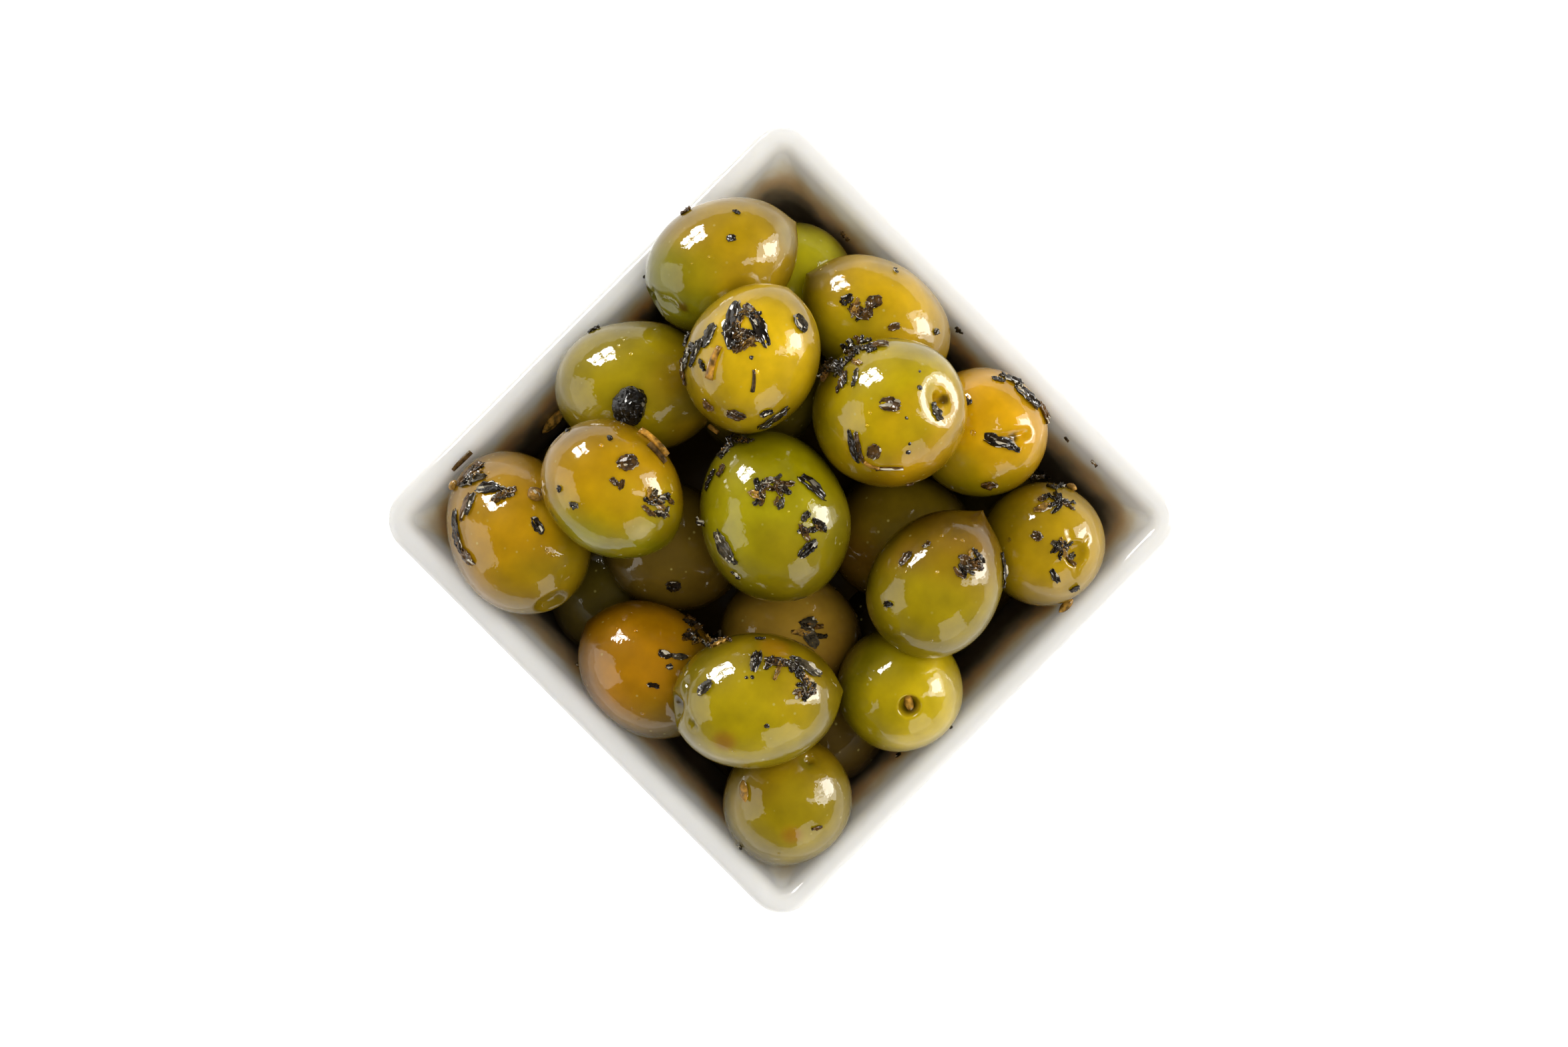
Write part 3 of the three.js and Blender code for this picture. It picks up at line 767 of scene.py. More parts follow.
# Most rows are the skin's own patches; the rows marked below are painted light.
BLUSHES_AND_PAINTED_LIGHT = [
    # olive, right, up, radius, colour, strength
    # painted reflection: a cream patch where the bright opening is mirrored
    ("lip_rest", 9.3, 3.6, 3.4, "#E7CF84", 0.55),
    ("lip_rest", -5.2, -6.6, 1.3, "#674510", 0.85),
    ("east_wall", -7.6, 6.0, 2.6, "#D7B962", 0.5),
    ("north_top", 4.2, -5.6, 1.8, "#CEB760", 0.55),
    ("west_top", -4.4, -5.4, 2.3, "#A06A10", 0.75),
    ("west_top", 2.6, 7.4, 3.0, "#DA9412", 0.5),
    # painted shade in the cleft
    ("west_top", -10.2, 0.0, 1.3, "#6A4E10", 0.85),
    ("south_top", 1.5, 7.0, 4.5, "#A37D26", 0.55),
    ("south_corner", 1.1, -4.2, 2.0, "#985E10", 0.6),
    ("south_corner", 2.6, 5.6, 1.5, "#827514", 0.7),
    ("east_top", 6.9, 1.5, 3.2, "#E3B118", 0.6),
    # painted shade in the pit hole
    ("east_top", 6.9, 1.4, 1.0, "#472F06", 0.9),
    # painted shade in the slit
    ("slit", 3.9, -1.0, 1.1, "#473308", 0.85),
    ("slit", -4.0, -5.0, 3.6, "#AB8A18", 0.6),
    # painted shade in the pit hole
    ("seed_hole", 0.9, -2.1, 1.9, "#2E2206", 0.9),
    ("west_corner", 4.4, -7.6, 2.4, "#AE8E16", 0.5),
    ("west_wall", 5.8, -5.0, 3.6, "#6F612C", 0.6),
    # painted shade: the summit's shadow on north_wall
    ("north_wall", 7.4, -2.4, 4.6, "#5E551C", 0.5),
]
print(len(DENTS) + len(CREASES) + len(BLUSHES_AND_PAINTED_LIGHT), "marks")

# %% [markdown]
# A mark could be cut with a knife, as a sharp shape in the mesh, but a soft fruit dents softly.
# So each point near the mark sinks towards the olive's middle, by a bell curve of its distance,
# and past three reaches nothing moves.

# %% Press a mark into the skin
MARK_FADES = 3
TOP_SIDE = 2 * MM


def frame_step(offset):
    """A step in the scene as millimetres right and up the frame."""
    return Vector((offset.dot(RIGHT_OF_FRAME), offset.dot(UP_THE_FRAME))) / MM


def skin_point(points, middle, right, up):
    """The place on the olive's upper skin nearest to a step from its middle."""
    upper = [p for p in points if p.co.z > middle.z - TOP_SIDE]
    goal = Vector((right, up))
    return min(upper, key=lambda p: (frame_step(p.co - middle) - goal).length).co.copy()


def press(points, middle, start, end, reach, depth):
    """Sinks the skin towards the olive's middle, along the line from start to end."""
    span = end - start
    for point in points:
        share = 0.0
        if span.length > 0:
            share = min(max((point.co - start).dot(span) / span.length_squared, 0), 1)
        away = (point.co - start - span * share).length / (reach * MM)
        if away < MARK_FADES:
            inward = (middle - point.co).normalized()
            point.co += inward * depth * MM * math.exp(-away * away)


print("a mark of reach 1 mm is", 2 * MARK_FADES, "mm across")

# %% [markdown]
# The colours are painted on the points themselves, because they belong to one olive and one
# side of it. The edge between two colours wanders with slow noise, so that it never runs round
# the olive like a seam.

# %% Colour the skin
WANDER = 0.5
WANDER_SIZE = 6 * MM
TURNOVER = (-0.3, 1.0)
SPOT_EDGE = (0.35, 1.0)
DEPTH_SHADE_HEIGHTS = (24.0, 40.0)
DEEP_SHADE = 0.3
FLANK = (0.1, 0.9)
FLANK_SHADE = 0.42


def colour_skin(points, row, blushes_and_painted_light, layer):
    """Paints each point of an olive: two skins blended across it, its blush marks, and painted
    shade low in the bowl and down its flanks.
    """
    middle = mm(*row["at"])
    main, other = (Vector(paint(code)) for code in row["skins"])
    bearing = math.radians(row["side"])
    toward = Vector((math.cos(bearing), math.sin(bearing)))
    spots = []
    for _, right, up, radius, code, strength in blushes_and_painted_light:
        spot = skin_point(points, middle, right, up)
        spots.append((spot, radius, Vector(paint(code)), strength))
    for point in points:
        step = frame_step(point.co - middle) / (row["size"][1] / 2)
        wander = WANDER * noise.noise(point.co / WANDER_SIZE)
        colour = main.lerp(other, smooth_step(*TURNOVER, step.dot(toward) + wander))
        for spot, radius, spot_colour, strength in spots:
            away = (point.co - spot).length / (radius * MM) + 0.5 * wander
            colour = colour.lerp(spot_colour, strength * (1 - smooth_step(*SPOT_EDGE, away)))
        # Painted shade: each skin is darker low in the bowl and on its flanks, which face away from
        # the light above.
        depth_shade = DEEP_SHADE + (1 - DEEP_SHADE) * smooth_step(*DEPTH_SHADE_HEIGHTS, point.co.z / MM)
        facing_up = (point.co - middle).normalized().z + 0.6 * wander
        painted_flank = FLANK_SHADE + (1 - FLANK_SHADE) * smooth_step(*FLANK, facing_up)
        point[layer] = colour * depth_shade * painted_flank


print("skins darken below", DEPTH_SHADE_HEIGHTS[1], "mm")

# %% [markdown]
# The olives are gathered in two pieces: those on top, and those below that show only in the
# gaps. A few more lie deeper still. Nothing shows of them but a dark curve, so they have no
# marks, but from every side the heap is then filled with olives and not with a lump.

# %% Olives that lie deeper
ABOVE = [name for name in OLIVES if not name.startswith("under")]
BELOW = [name for name in OLIVES if name.startswith("under")]
DEEP = {
    "deep_east": (23.6, 2.0, 24.0),
    "deep_north": (8.5, 23.6, 25.0),
    "deep_north_west": (-22.6, 22.6, 20.5),
    "deep_south": (0.0, -22.6, 20.0),
    "deep_west": (-22.6, -11.0, 20.0),
    "deep_south_west": (-22.6, -22.6, 20.5),
    "deep_middle": (2.0, 2.0, 28.0),
    "deep_corner": (21.4, 21.4, 15.5),
    "deep_right": (22.8, -21.8, 21.5),
}
DEEP_SIZE = (18.0, 17.0)
DEEP_TURN = 37
DEEP_SIDE = 40
DEEP_ROWS = {
    name: {
        "at": at,
        "size": DEEP_SIZE,
        "turn": DEEP_TURN * index,
        "rise": 0,
        # Their dark brown skins are painted shade, as deep in the heap as they lie.
        "skins": ("#4A3E14", "#3A2C10"),
        "side": DEEP_SIDE * index,
    }
    for index, (name, at) in enumerate(DEEP.items())
}
print(len(ABOVE), "on top,", len(BELOW), "below and", len(DEEP), "deeper")


# %% Gather the olives
def add_to(maker, part):
    """Moves all of one mesh maker's shape into another."""
    carrier = bpy.data.meshes.new("carrier")
    part.to_mesh(carrier)
    part.free()
    maker.from_mesh(carrier)
    bpy.data.meshes.remove(carrier)


def gather_olives(rows):
    maker = bmesh.new()
    maker.verts.layers.float_color.new("skin")
    for name, row in rows.items():
        olive = spin_olive(row)
        layer = olive.verts.layers.float_color.new("skin")
        points = list(olive.verts)
        middle = mm(*row["at"])
        for _, right, up, reach, depth in [m for m in DENTS if m[0] == name]:
            spot = skin_point(points, middle, right, up)
            press(points, middle, spot, spot, reach, depth)
        for _, right, up, to_right, to_up, reach, depth in [m for m in CREASES if m[0] == name]:
            start = skin_point(points, middle, right, up)
            end = skin_point(points, middle, to_right, to_up)
            press(points, middle, start, end, reach, depth)
        colour_skin(points, row, [m for m in BLUSHES_AND_PAINTED_LIGHT if m[0] == name], layer)
        add_to(maker, olive)
    return maker


top_maker = gather_olives({name: OLIVES[name] for name in ABOVE})
under_maker = gather_olives({**{name: OLIVES[name] for name in BELOW}, **DEEP_ROWS})
print("the olives have", len(top_maker.verts) + len(under_maker.verts), "points")

# %% [markdown]
# ### Olive skin under oil
#
# An olive's skin is waxy and taut, with a cloudy colour from the brine, and tiny pale pores
# about a millimetre and a half apart. Light goes a little way into the flesh. Noise makes the
# clouds, and the cells of a Voronoi pattern place the pores.

# %% Clouds and pores of the skin
PORE_STRENGTH = 0.45
oiled_skin, tree, where = new_material("oiled_olive_skin")
skin = add_node(tree, "ShaderNodeAttribute", attribute_name="skin").outputs["Color"]
cloud = add_node(
    tree, "ShaderNodeTexNoise", {"Vector": where, "Scale": 1 / (3.5 * MM), "Detail": 3.0}
).outputs[0]
cloud_gain = add_node(
    tree,
    "ShaderNodeMapRange",
    {"Value": cloud, "From Min": 0.3, "From Max": 0.7, "To Min": 0.84, "To Max": 1.12},
).outputs[0]
clouded = add_node(
    tree, "ShaderNodeMix", {0: 1.0, 6: skin, 7: cloud_gain}, data_type="RGBA", blend_type="MULTIPLY"
).outputs[2]
pores = add_node(tree, "ShaderNodeTexVoronoi", {"Vector": where, "Scale": 1 / (1.5 * MM)})
pore_dot = add_node(
    tree,
    "ShaderNodeMapRange",
    {"Value": pores.outputs["Distance"], "From Min": 0.16, "From Max": 0.08},
).outputs[0]
pore_kept = add_node(
    tree,
    "ShaderNodeMapRange",
    {"Value": pores.outputs["Color"], "From Min": 0.5, "From Max": 0.9},
).outputs[0]
pore = add_node(
    tree, "ShaderNodeMath", {0: pore_dot, 1: pore_kept}, operation="MULTIPLY"
).outputs[0]
pore_share = add_node(
    tree, "ShaderNodeMath", {0: pore, 1: PORE_STRENGTH}, operation="MULTIPLY"
).outputs[0]
pored = add_node(
    tree, "ShaderNodeMix", {0: pore_share, 6: clouded, 7: paint("#D9CE7C")}, data_type="RGBA"
).outputs[2]
print("clouds and pores take", len(tree.nodes), "nodes")

# %% [markdown]
# The oil is a thin clear coat, so the room is mirrored sharply on a soft colour. It follows the
# slow ripples of the skin, and has a finer one of its own that frays the edges of what it
# mirrors. The skin under it has a fine grain instead.

# %% Ripples of skin and oil
ripple = add_node(
    tree, "ShaderNodeTexNoise", {"Vector": where, "Scale": 1 / (2.4 * MM), "Detail": 2.0}
).outputs[0]
grain = add_node(
    tree, "ShaderNodeTexNoise", {"Vector": where, "Scale": 1 / (0.4 * MM), "Detail": 1.0}
).outputs[0]
rippled = add_node(
    tree, "ShaderNodeBump", {"Height": ripple, "Strength": 0.5, "Distance": 0.12 * MM}
).outputs[0]
grained = add_node(
    tree,
    "ShaderNodeBump",
    {"Height": grain, "Strength": 0.3, "Distance": 0.03 * MM, "Normal": rippled},
).outputs[0]
oil_edge = add_node(
    tree, "ShaderNodeTexNoise", {"Vector": where, "Scale": 1 / (0.8 * MM), "Detail": 2.0}
).outputs[0]
oil_rippled = add_node(
    tree,
    "ShaderNodeBump",
    {"Height": oil_edge, "Strength": 0.7, "Distance": 0.04 * MM, "Normal": rippled},
).outputs[0]
finish_material(
    tree,
    {
        "Base Color": pored,
        "Roughness": 0.5,
        "Specular IOR Level": 0.05,
        "Subsurface Weight": 0.1,
        "Subsurface Radius": (1.0, 0.6, 0.1),
        "Subsurface Scale": 1.2 * MM,
        "Normal": grained,
        "Coat Weight": 1.0,
        "Coat Roughness": 0.02,
        "Coat IOR": 1.5,
        "Coat Normal": oil_rippled,
    },
)
top_olives = make_piece("olives_on_top", top_maker, oiled_skin, "olives")
under_olives = make_piece("olives_below", under_maker, oiled_skin)

# %% [markdown]
# ### What lies under them
#
# The bottom of the bowl is full of olives that can't be seen. A low mound closes the view
# between the others, as it does in the solid. It is coloured as dark oil, and its darkness is
# also painted shade of the olives deep in the heap.

# %% Mound of dark oil and painted shade
GAP = 0.3
MOUND_EDGE = 18.0
MOUND_TOP = 25.0
MOUND_CORNER = 8.0
mound_foot = arc(hollow, HOLLOW_ROUND - GAP, -90, -LEAN, 8)
wall_slope = math.tan(math.radians(LEAN))
mound_half = mound_foot[-1][0] + (MOUND_EDGE - mound_foot[-1][1]) * wall_slope
mound_section = [(0, FLOOR_THICKNESS + GAP), *mound_foot]
for along, rise in arc((0, 0), 1.0, 0, 90, 10):
    mound_section.append((mound_half * along, MOUND_EDGE + (MOUND_TOP - MOUND_EDGE) * rise))
mound_section[-1] = (0, MOUND_TOP)


def mound_corner(place, radius, level):
    return MOUND_CORNER * radius / mound_half


dark_oil_and_shade, tree, where = new_material("dark_oil_and_painted_shade")
murk = add_node(
    tree, "ShaderNodeTexNoise", {"Vector": where, "Scale": 1 / (6 * MM), "Detail": 2.0}
).outputs[0]
# Dark oil, and painted shade of the hidden olives.
oil_and_shade_colour = add_node(
    tree, "ShaderNodeMix", {0: murk, 6: paint("#2A1D08"), 7: paint("#3A2C0C")}, data_type="RGBA"
).outputs[2]
finish_material(tree, {"Base Color": oil_and_shade_colour, "Roughness": 0.12, "IOR": 1.47})
make_piece("oil_and_mound", squared_spin(mound_section, mound_corner), dark_oil_and_shade)

# %% [markdown]
# ## Herbs, seeds and drops of oil
#
# The marinade leaves dried leaves, bits of stalk, seeds, a peppercorn and crumbs all over the
# heap. Each has a place in the frame, as seen from the camera: a line of sight through that
# place finds the skin that it lies on.

# %% The heap as the herbs feel it
def ground_of(pieces):
    corners, faces = [], []
    for piece in pieces:
        start = len(corners)
        corners += [vert.co for vert in piece.data.vertices]
        faces += [[start + i for i in face.vertices] for face in piece.data.polygons]
    return BVHTree.FromPolygons(corners, faces)


GROUND = ground_of([bowl, top_olives, under_olives])


def seat_at(right, up, heading):
    """What lies at a place of the frame: its point, its slope and a heading along it."""
    sight = (plan(right, up) - EYE).normalized()
    point, normal, _, _ = GROUND.ray_cast(EYE, sight)
    turn = math.radians(heading)
    ahead = RIGHT_OF_FRAME * math.cos(turn) + UP_THE_FRAME * math.sin(turn)
    ahead = (ahead - normal * ahead.dot(normal)).normalized()
    return point, normal, ahead


print("the summit stands at", [round(v / MM, 1) for v in seat_at(-4.0, 22.3, 0)[0]], "mm")

# %% [markdown]
# Soft scraps are bent to follow the skin: a second ray from each of their points finds how far
# the ground has dropped away. A brittle leaf doesn't wrap round a sharp edge, so the drop is
# held to a bend of 3 mm radius, and the climb up a neighbour to 0.7 mm. Stiff scraps are only
# set down.

# %% Lay a scrap on the heap
LOOK_AHEAD = 4 * MM
TIGHTEST_BEND = 3 * MM
HIGHEST_CLIMB = 0.7 * MM
HEAP_TOP = cad_box[1][2] - 0.05 * MM


def drape(scrap, right, up, heading):
    """Bends a flat scrap, which lies round the origin, over the heap at a place."""
    point, normal, ahead = seat_at(right, up, heading)
    side = normal.cross(ahead)
    for vert in scrap.verts:
        step = ahead * vert.co.x + side * vert.co.y
        hit = GROUND.ray_cast(point + step + normal * LOOK_AHEAD, -normal)[3]
        drop = (hit or math.inf) - LOOK_AHEAD
        drop = min(drop, step.length_squared / (2 * TIGHTEST_BEND))
        drop = max(drop, -HIGHEST_CLIMB)
        vert.co = point + step + normal * (vert.co.z - drop)
        vert.co.z = min(vert.co.z, HEAP_TOP)


def stand(scrap, right, up, heading):
    """Sets a stiff scrap down on the heap at a place."""
    point, normal, ahead = seat_at(right, up, heading)
    turn = Matrix((ahead, normal.cross(ahead), normal)).transposed().to_4x4()
    bmesh.ops.transform(scrap, matrix=Matrix.Translation(point) @ turn, verts=scrap.verts)


print("scraps are laid no higher than", round(HEAP_TOP / MM, 2), "mm")

# %% [markdown]
# A scrap brings two things to its material, kept on its points: its colour, and its grain,
# which is each point's place on the flat scrap. Streaks that follow the grain then run along a
# leaf wherever it lies and however it is bent.

# %% Body, colour and grain of a scrap
CHANCE = random.Random(SEED)


def thicken(scrap, thickness):
    """Gives an open sheet an underside."""
    scrap.normal_update()
    grown = bmesh.ops.extrude_face_region(scrap, geom=scrap.faces[:], use_keep_orig=True)["geom"]
    for part in grown:
        if isinstance(part, bmesh.types.BMVert):
            part.co += part.normal * -thickness
    bmesh.ops.recalc_face_normals(scrap, faces=scrap.faces)


def new_heap():
    """An empty mesh maker for scraps that each bring a colour."""
    maker = bmesh.new()
    maker.verts.layers.float_color.new("tint")
    maker.verts.layers.float_vector.new("grain")
    return maker


def mark_grain(scrap, seed):
    """Keeps each point's place on its own scrap, in millimetres, for streaks along it."""
    layer = scrap.verts.layers.float_vector.new("grain")
    for vert in scrap.verts:
        vert[layer] = (*(vert.co.xy / MM), vert.co.z / MM + seed)


def tint_all(scrap, code, spread=0.25):
    """Gives a scrap one colour, a little lighter or darker than its code."""
    shade = 1 + CHANCE.uniform(-spread, spread)
    colour = Vector(paint(code)) * shade
    layer = scrap.verts.layers.float_color.new("tint")
    for vert in scrap.verts:
        vert[layer] = colour


print("each point of a scrap has a tint and a grain")

# %% [markdown]
# ### Dried leaves
#
# A dried leaf is a flat scrap, narrower at its ends, with a ragged edge, a rolled rim and
# fine crinkles. Each row gives its place, its length and width in millimetres, its heading
# and its colour. Where leaves have clotted together, a row of `CLUMPS` throws narrow ribbons
# in a heap, with its half length and half width, its heading and how many there are.

# %% Rows of leaves
LEAVES = [
    # lip_rest
    (-13.3, 42.6, 1.5, 1, 40, "brown"), (-6.3, 42.5, 1.1, 0.6, -40, "dark"),
    (-7.1, 38.9, 1.2, 1, 0, "dark"),
    # north_wall
    (-26.0, 26.2, 1.7, 0.6, 20, "dark"),
    # summit
    (-6.8, 27.1, 7.0, 2.4, 92, "dark"), (-4.2, 28.4, 3.8, 1.5, 120, "brown"),
    (-3.1, 26.4, 5.2, 1.7, 112, "dark"), (-5.6, 24.6, 3.4, 1.8, 60, "brown"),
    (-10.1, 25.4, 3.4, 1.8, 50, "grey"), (-11.6, 23.7, 2.9, 1.3, 35, "grey"),
    (-13.1, 22.3, 3.2, 1.3, 30, "grey"), (-13.6, 20.4, 3.4, 1.6, 100, "brown"),
    (-10.1, 15.9, 1.9, 1.2, -30, "brown"), (-6.3, 14.6, 2.5, 1.6, -10, "brown"),
    (-1.2, 14.0, 4.9, 1.5, 68, "dark"), (-2.2, 14.8, 1.8, 1, 20, "dark"),
    (2.4, 27.1, 2.6, 1.9, -60, "grey"),
    # north_top
    (-21.4, 7.8, 2.9, 2.2, 20, "brown"), (-23.2, 5.2, 1.2, 0.7, -40, "brown"),
    (-22.3, 4.8, 1.4, 0.7, 70, "brown"), (-28.7, 2.0, 1.3, 0.9, 0, "grey"),
    (-30.7, 4.2, 0.9, 0.6, 60, "dark"),
    # west_corner
    (-43.2, 6.4, 4.6, 2.2, 25, "brown"), (-42.8, 5.4, 4.4, 1.4, -8, "grey"),
    (-40.7, 4.3, 3.6, 1.9, -15, "dark"), (-37.6, 3.9, 1.8, 1, 10, "brown"),
    (-43.8, 1.7, 3.8, 1.1, 74, "brown"), (-43.0, 2.1, 3.2, 0.9, 76, "grey"),
    (-45.0, -1.6, 5.8, 1.6, -60, "dark"), (-44.6, -3.0, 3.6, 1.2, -50, "brown"),
    (-43.6, -5.0, 3.6, 1.7, -18, "brown"), (-33.9, -0.9, 2.6, 1.3, -62, "dark"),
    # middle
    (-9.9, 5.5, 3.1, 1.1, 42, "dark"), (-8.3, 6.7, 1.7, 1, 60, "brown"),
    (4.2, 4.4, 4.5, 1.7, -36, "dark"), (3.5, -4.0, 3.3, 1.5, 42, "dark"),
    (3.2, 0.4, 1.6, 0.9, 50, "grey"), (-10.8, -0.2, 1.4, 0.7, -60, "dark"),
    (-8.0, -3.7, 4.5, 2.4, -54, "grey"), (-6.7, -5.5, 1.6, 0.8, -30, "grey"),
    (-6.3, -7.6, 1.5, 0.6, -40, "dark"),
    # east_top
    (13.0, 24.0, 3.5, 1.4, -25, "brown"), (11.4, 25.0, 1.3, 0.5, -60, "dark"),
    (15.0, 15.9, 2.7, 1.8, -10, "brown"), (9.9, 10.0, 5, 1, 86, "dark"),
    (10.7, 9.9, 4.6, 0.9, 86, "brown"), (12.8, 9.4, 2.4, 1.9, 60, "brown"),
    (21.3, 14.9, 2.5, 1.5, -70, "grey"),
    # east_wall
    (10.8, 28.7, 3.3, 1.5, -28, "brown"), (9.0, 30.4, 1.9, 1.3, 30, "dark"),
    (12.8, 30.1, 2, 1.8, 10, "brown"), (15.5, 26.7, 1.7, 1, 15, "brown"),
    (15.7, 34.4, 0.9, 0.4, 90, "dark"), (21.3, 26.0, 1, 0.8, 20, "grey"),
    # slit
    (30.0, 19.3, 1.8, 0.8, -20, "grey"), (31.8, 19.3, 3.6, 1.8, -40, "dark"),
    (33.9, 17.0, 4.4, 2.2, -46, "dark"), (36.2, 14.8, 3.2, 1.7, -60, "brown"),
    (30.3, 10.6, 4.6, 1.6, -14, "dark"), (32.2, 9.8, 1.5, 0.8, -20, "dark"),
    (25.9, 15.9, 1.4, 1, 80, "dark"), (28.7, 4.9, 2.1, 1.6, 20, "brown"),
    (30.7, 3.6, 1.2, 0.7, -30, "dark"),
    # east_corner
    (36.1, 1.5, 2.5, 1.2, 15, "tan"), (35.4, -2.3, 1.6, 1.2, -30, "brown"),
    (37.8, -7.8, 2.3, 0.9, -62, "dark"), (39.8, -5.9, 1.9, 0.8, -40, "brown"),
    (40.5, -9.5, 1.4, 1, 20, "dark"), (40.0, -5.2, 1.2, 0.8, 40, "grey"),
    # south_top
    (17.2, -5.5, 2.3, 1.2, 50, "brown"), (20.1, -3.6, 1.2, 0.6, 40, "brown"),
    (14.8, -11.7, 1.5, 0.7, 10, "dark"), (30.7, -7.0, 4.6, 1.4, -76, "dark"),
    # west_top
    (-3.6, -19.7, 3.1, 1.3, 80, "dark"), (-0.7, -19.8, 3.4, 1.4, -8, "brown"),
    (3.3, -20.4, 5, 1.8, -16, "grey"), (-10.6, -23.3, 2.5, 1.4, 30, "grey"),
    (-3.0, -16.6, 1.3, 0.5, -20, "dark"),
    # west_wall
    (-16.2, -18.7, 1.9, 1.1, -15, "dark"), (-14.2, -19.0, 2.2, 0.9, 0, "grey"),
    (-17.8, -22.9, 1.6, 0.6, -10, "dark"), (-15.6, -20.4, 0.9, 0.7, 0, "dark"),
    (-28.2, -20.4, 1, 0.5, -60, "dark"),
    # seed_hole and south_corner
    (16.8, -32.2, 2.4, 0.7, 0, "dark"), (4.8, -42.6, 1.6, 0.5, 0, "brown"),
    (1.7, -47.9, 2.2, 1.4, -10, "brown"),
    # the olives between
    (3.6, -14.4, 2.4, 1.5, 30, "grey"), (4.0, -16.5, 2.9, 1.7, -50, "grey"),
    (-15.0, -9.1, 2, 1.6, 10, "dark"), (6.2, 40.2, 3, 0.9, -50, "dark"),
    # on the porcelain
    (9.3, 39.8, 1.6, 0.7, -50, "brown"), (25.1, 26.7, 1.3, 0.8, -30, "dark"),
    (43.4, 7.9, 1, 0.4, -20, "brown"), (39.6, 11.2, 0.8, 0.3, -40, "brown"),
    (23.7, -29.2, 0.5, 0.4, 0, "dark"), (-6.4, -45.8, 0.8, 0.4, -50, "dark"),
]
CLUMPS = [
    (-5.0, 26.6, 2.8, 2.2, 90, 16), (-12.1, 22.9, 1.2, 2.8, 35, 4), (-17.5, 2.3, 2, 2, 0, 12),
    (-6.1, 9.7, 1.8, 1.2, 0, 8), (-1.6, 3.8, 2.2, 2.5, 90, 16), (3.9, -1.1, 0.9, 1.7, -70, 6),
    (8.2, 20.0, 1.7, 2.1, 70, 13), (10.5, 23.3, 2.5, 1.5, 32, 13),
    (11.0, 29.0, 1.6, 0.9, -20, 4), (36.8, 3.8, 3.2, 1.9, -36, 16), (38.7, -3.9, 1.6, 1, 10, 7),
    (26.1, -6.4, 2.2, 1.3, 24, 11), (2.2, -23.0, 2, 1.5, -30, 11),
    (0.1, -20.6, 2.6, 0.8, -10, 7), (-10.4, -15.6, 3.6, 2.0, -18, 26),
    (-42.8, 6.2, 2.0, 1, 10, 6), (-38.5, 3.4, 1.1, 0.7, 10, 5), (3.8, -15.9, 1.6, 1.6, 0, 4),
]
LEAF_TINTS = {"dark": "#21180D", "brown": "#553A14", "grey": "#403828", "tan": "#9A7430"}
print(len(LEAVES), "leaves and", len(CLUMPS), "clumps")

# %% [markdown]
# A leaf starts as a flat grid, 10 cells long and 5 wide, because an even grid bends well. Its
# outline, roll and crinkles are formulas of the place on the grid, and it gets a thickness
# once it has been laid down.

# %% Shape of a leaf
LEAF_THICKNESS = 0.14
LEAF_LIFT = 0.1
LEAF_TAPER = 0.6
LEAF_RAGGED = 0.35


def leaf_scrap(length, width, curl, crinkle, seed):
    """A flat scrap of leaf about the origin, with its top side up."""
    scrap = bmesh.new()
    bmesh.ops.create_grid(scrap, x_segments=10, y_segments=5, size=0.5)
    for vert in scrap.verts:
        along, across = 2 * vert.co.x, 2 * vert.co.y
        ragged = noise.noise(Vector((3.1 * along, seed, 2 * across)))
        spread = 1 - LEAF_TAPER * abs(along) ** 2.2 + LEAF_RAGGED * ragged
        rolled = curl * (across * across - 0.3) + 0.3 * curl * along
        folds = crinkle * noise.noise(Vector((2.2 * along, 1.6 * across, seed)) * 1.7)
        reach = 1 + 0.2 * noise.noise(Vector((seed, 2.5 * across, 0)))
        vert.co = mm(
            along * reach * length / 2,
            across * spread * width / 2,
            LEAF_THICKNESS + LEAF_LIFT + rolled * width / 2 + folds,
        )
    mark_grain(scrap, seed)
    return scrap


print("leaves are", LEAF_THICKNESS, "mm thick")

# %% Make the leaves
LEAF_CURL = (0.15, 0.5)
LEAF_CRINKLE = 0.35
RIBBON_LENGTH = (1.2, 2.8)
RIBBON_WIDTH = (0.5, 0.95)
RIBBON_CURL = (-0.2, 0.6)
RIBBON_CRINKLE = 0.6
RIBBON_TONES = ("dark", "dark", "dark", "brown", "brown", "grey", "tan")
leaf_maker = new_heap()


def add_leaf(right, up, length, width, heading, code, curl, crinkle):
    scrap = leaf_scrap(length, width, curl, crinkle, CHANCE.uniform(0, 100))
    drape(scrap, right, up, heading)
    thicken(scrap, LEAF_THICKNESS * MM)
    tint_all(scrap, code)
    add_to(leaf_maker, scrap)


for right, up, length, width, heading, tone in LEAVES:
    curl = CHANCE.uniform(*LEAF_CURL)
    add_leaf(right, up, length, width, heading, LEAF_TINTS[tone], curl, LEAF_CRINKLE)
for right, up, half_length, half_width, heading, count in CLUMPS:
    turn = math.radians(heading)
    for _ in range(count):
        away, bearing = math.sqrt(CHANCE.random()), CHANCE.uniform(0, 2 * math.pi)
        aside = (half_length * away * math.cos(bearing), half_width * away * math.sin(bearing))
        step = Vector(aside)
        step.rotate(Matrix.Rotation(turn, 2))
        tone = CHANCE.choice(RIBBON_TONES)
        add_leaf(
            right + step.x,
            up + step.y,
            CHANCE.uniform(*RIBBON_LENGTH),
            CHANCE.uniform(*RIBBON_WIDTH),
            CHANCE.uniform(0, 360),
            LEAF_TINTS[tone],
            CHANCE.uniform(*RIBBON_CURL),
            RIBBON_CRINKLE,
        )
print("leaf faces:", len(leaf_maker.faces))

# %% [markdown]
# The leaves are brown-black and brittle, and their crumpled skin is a mass of narrow facets
# that run with the grain, each tilted its own way. Soaked in oil, the few that face a bright
# light glint white. Here and there a facet is painted near white, a painted glint that shows
# under every light. `facet` gives their length and width in millimetres.

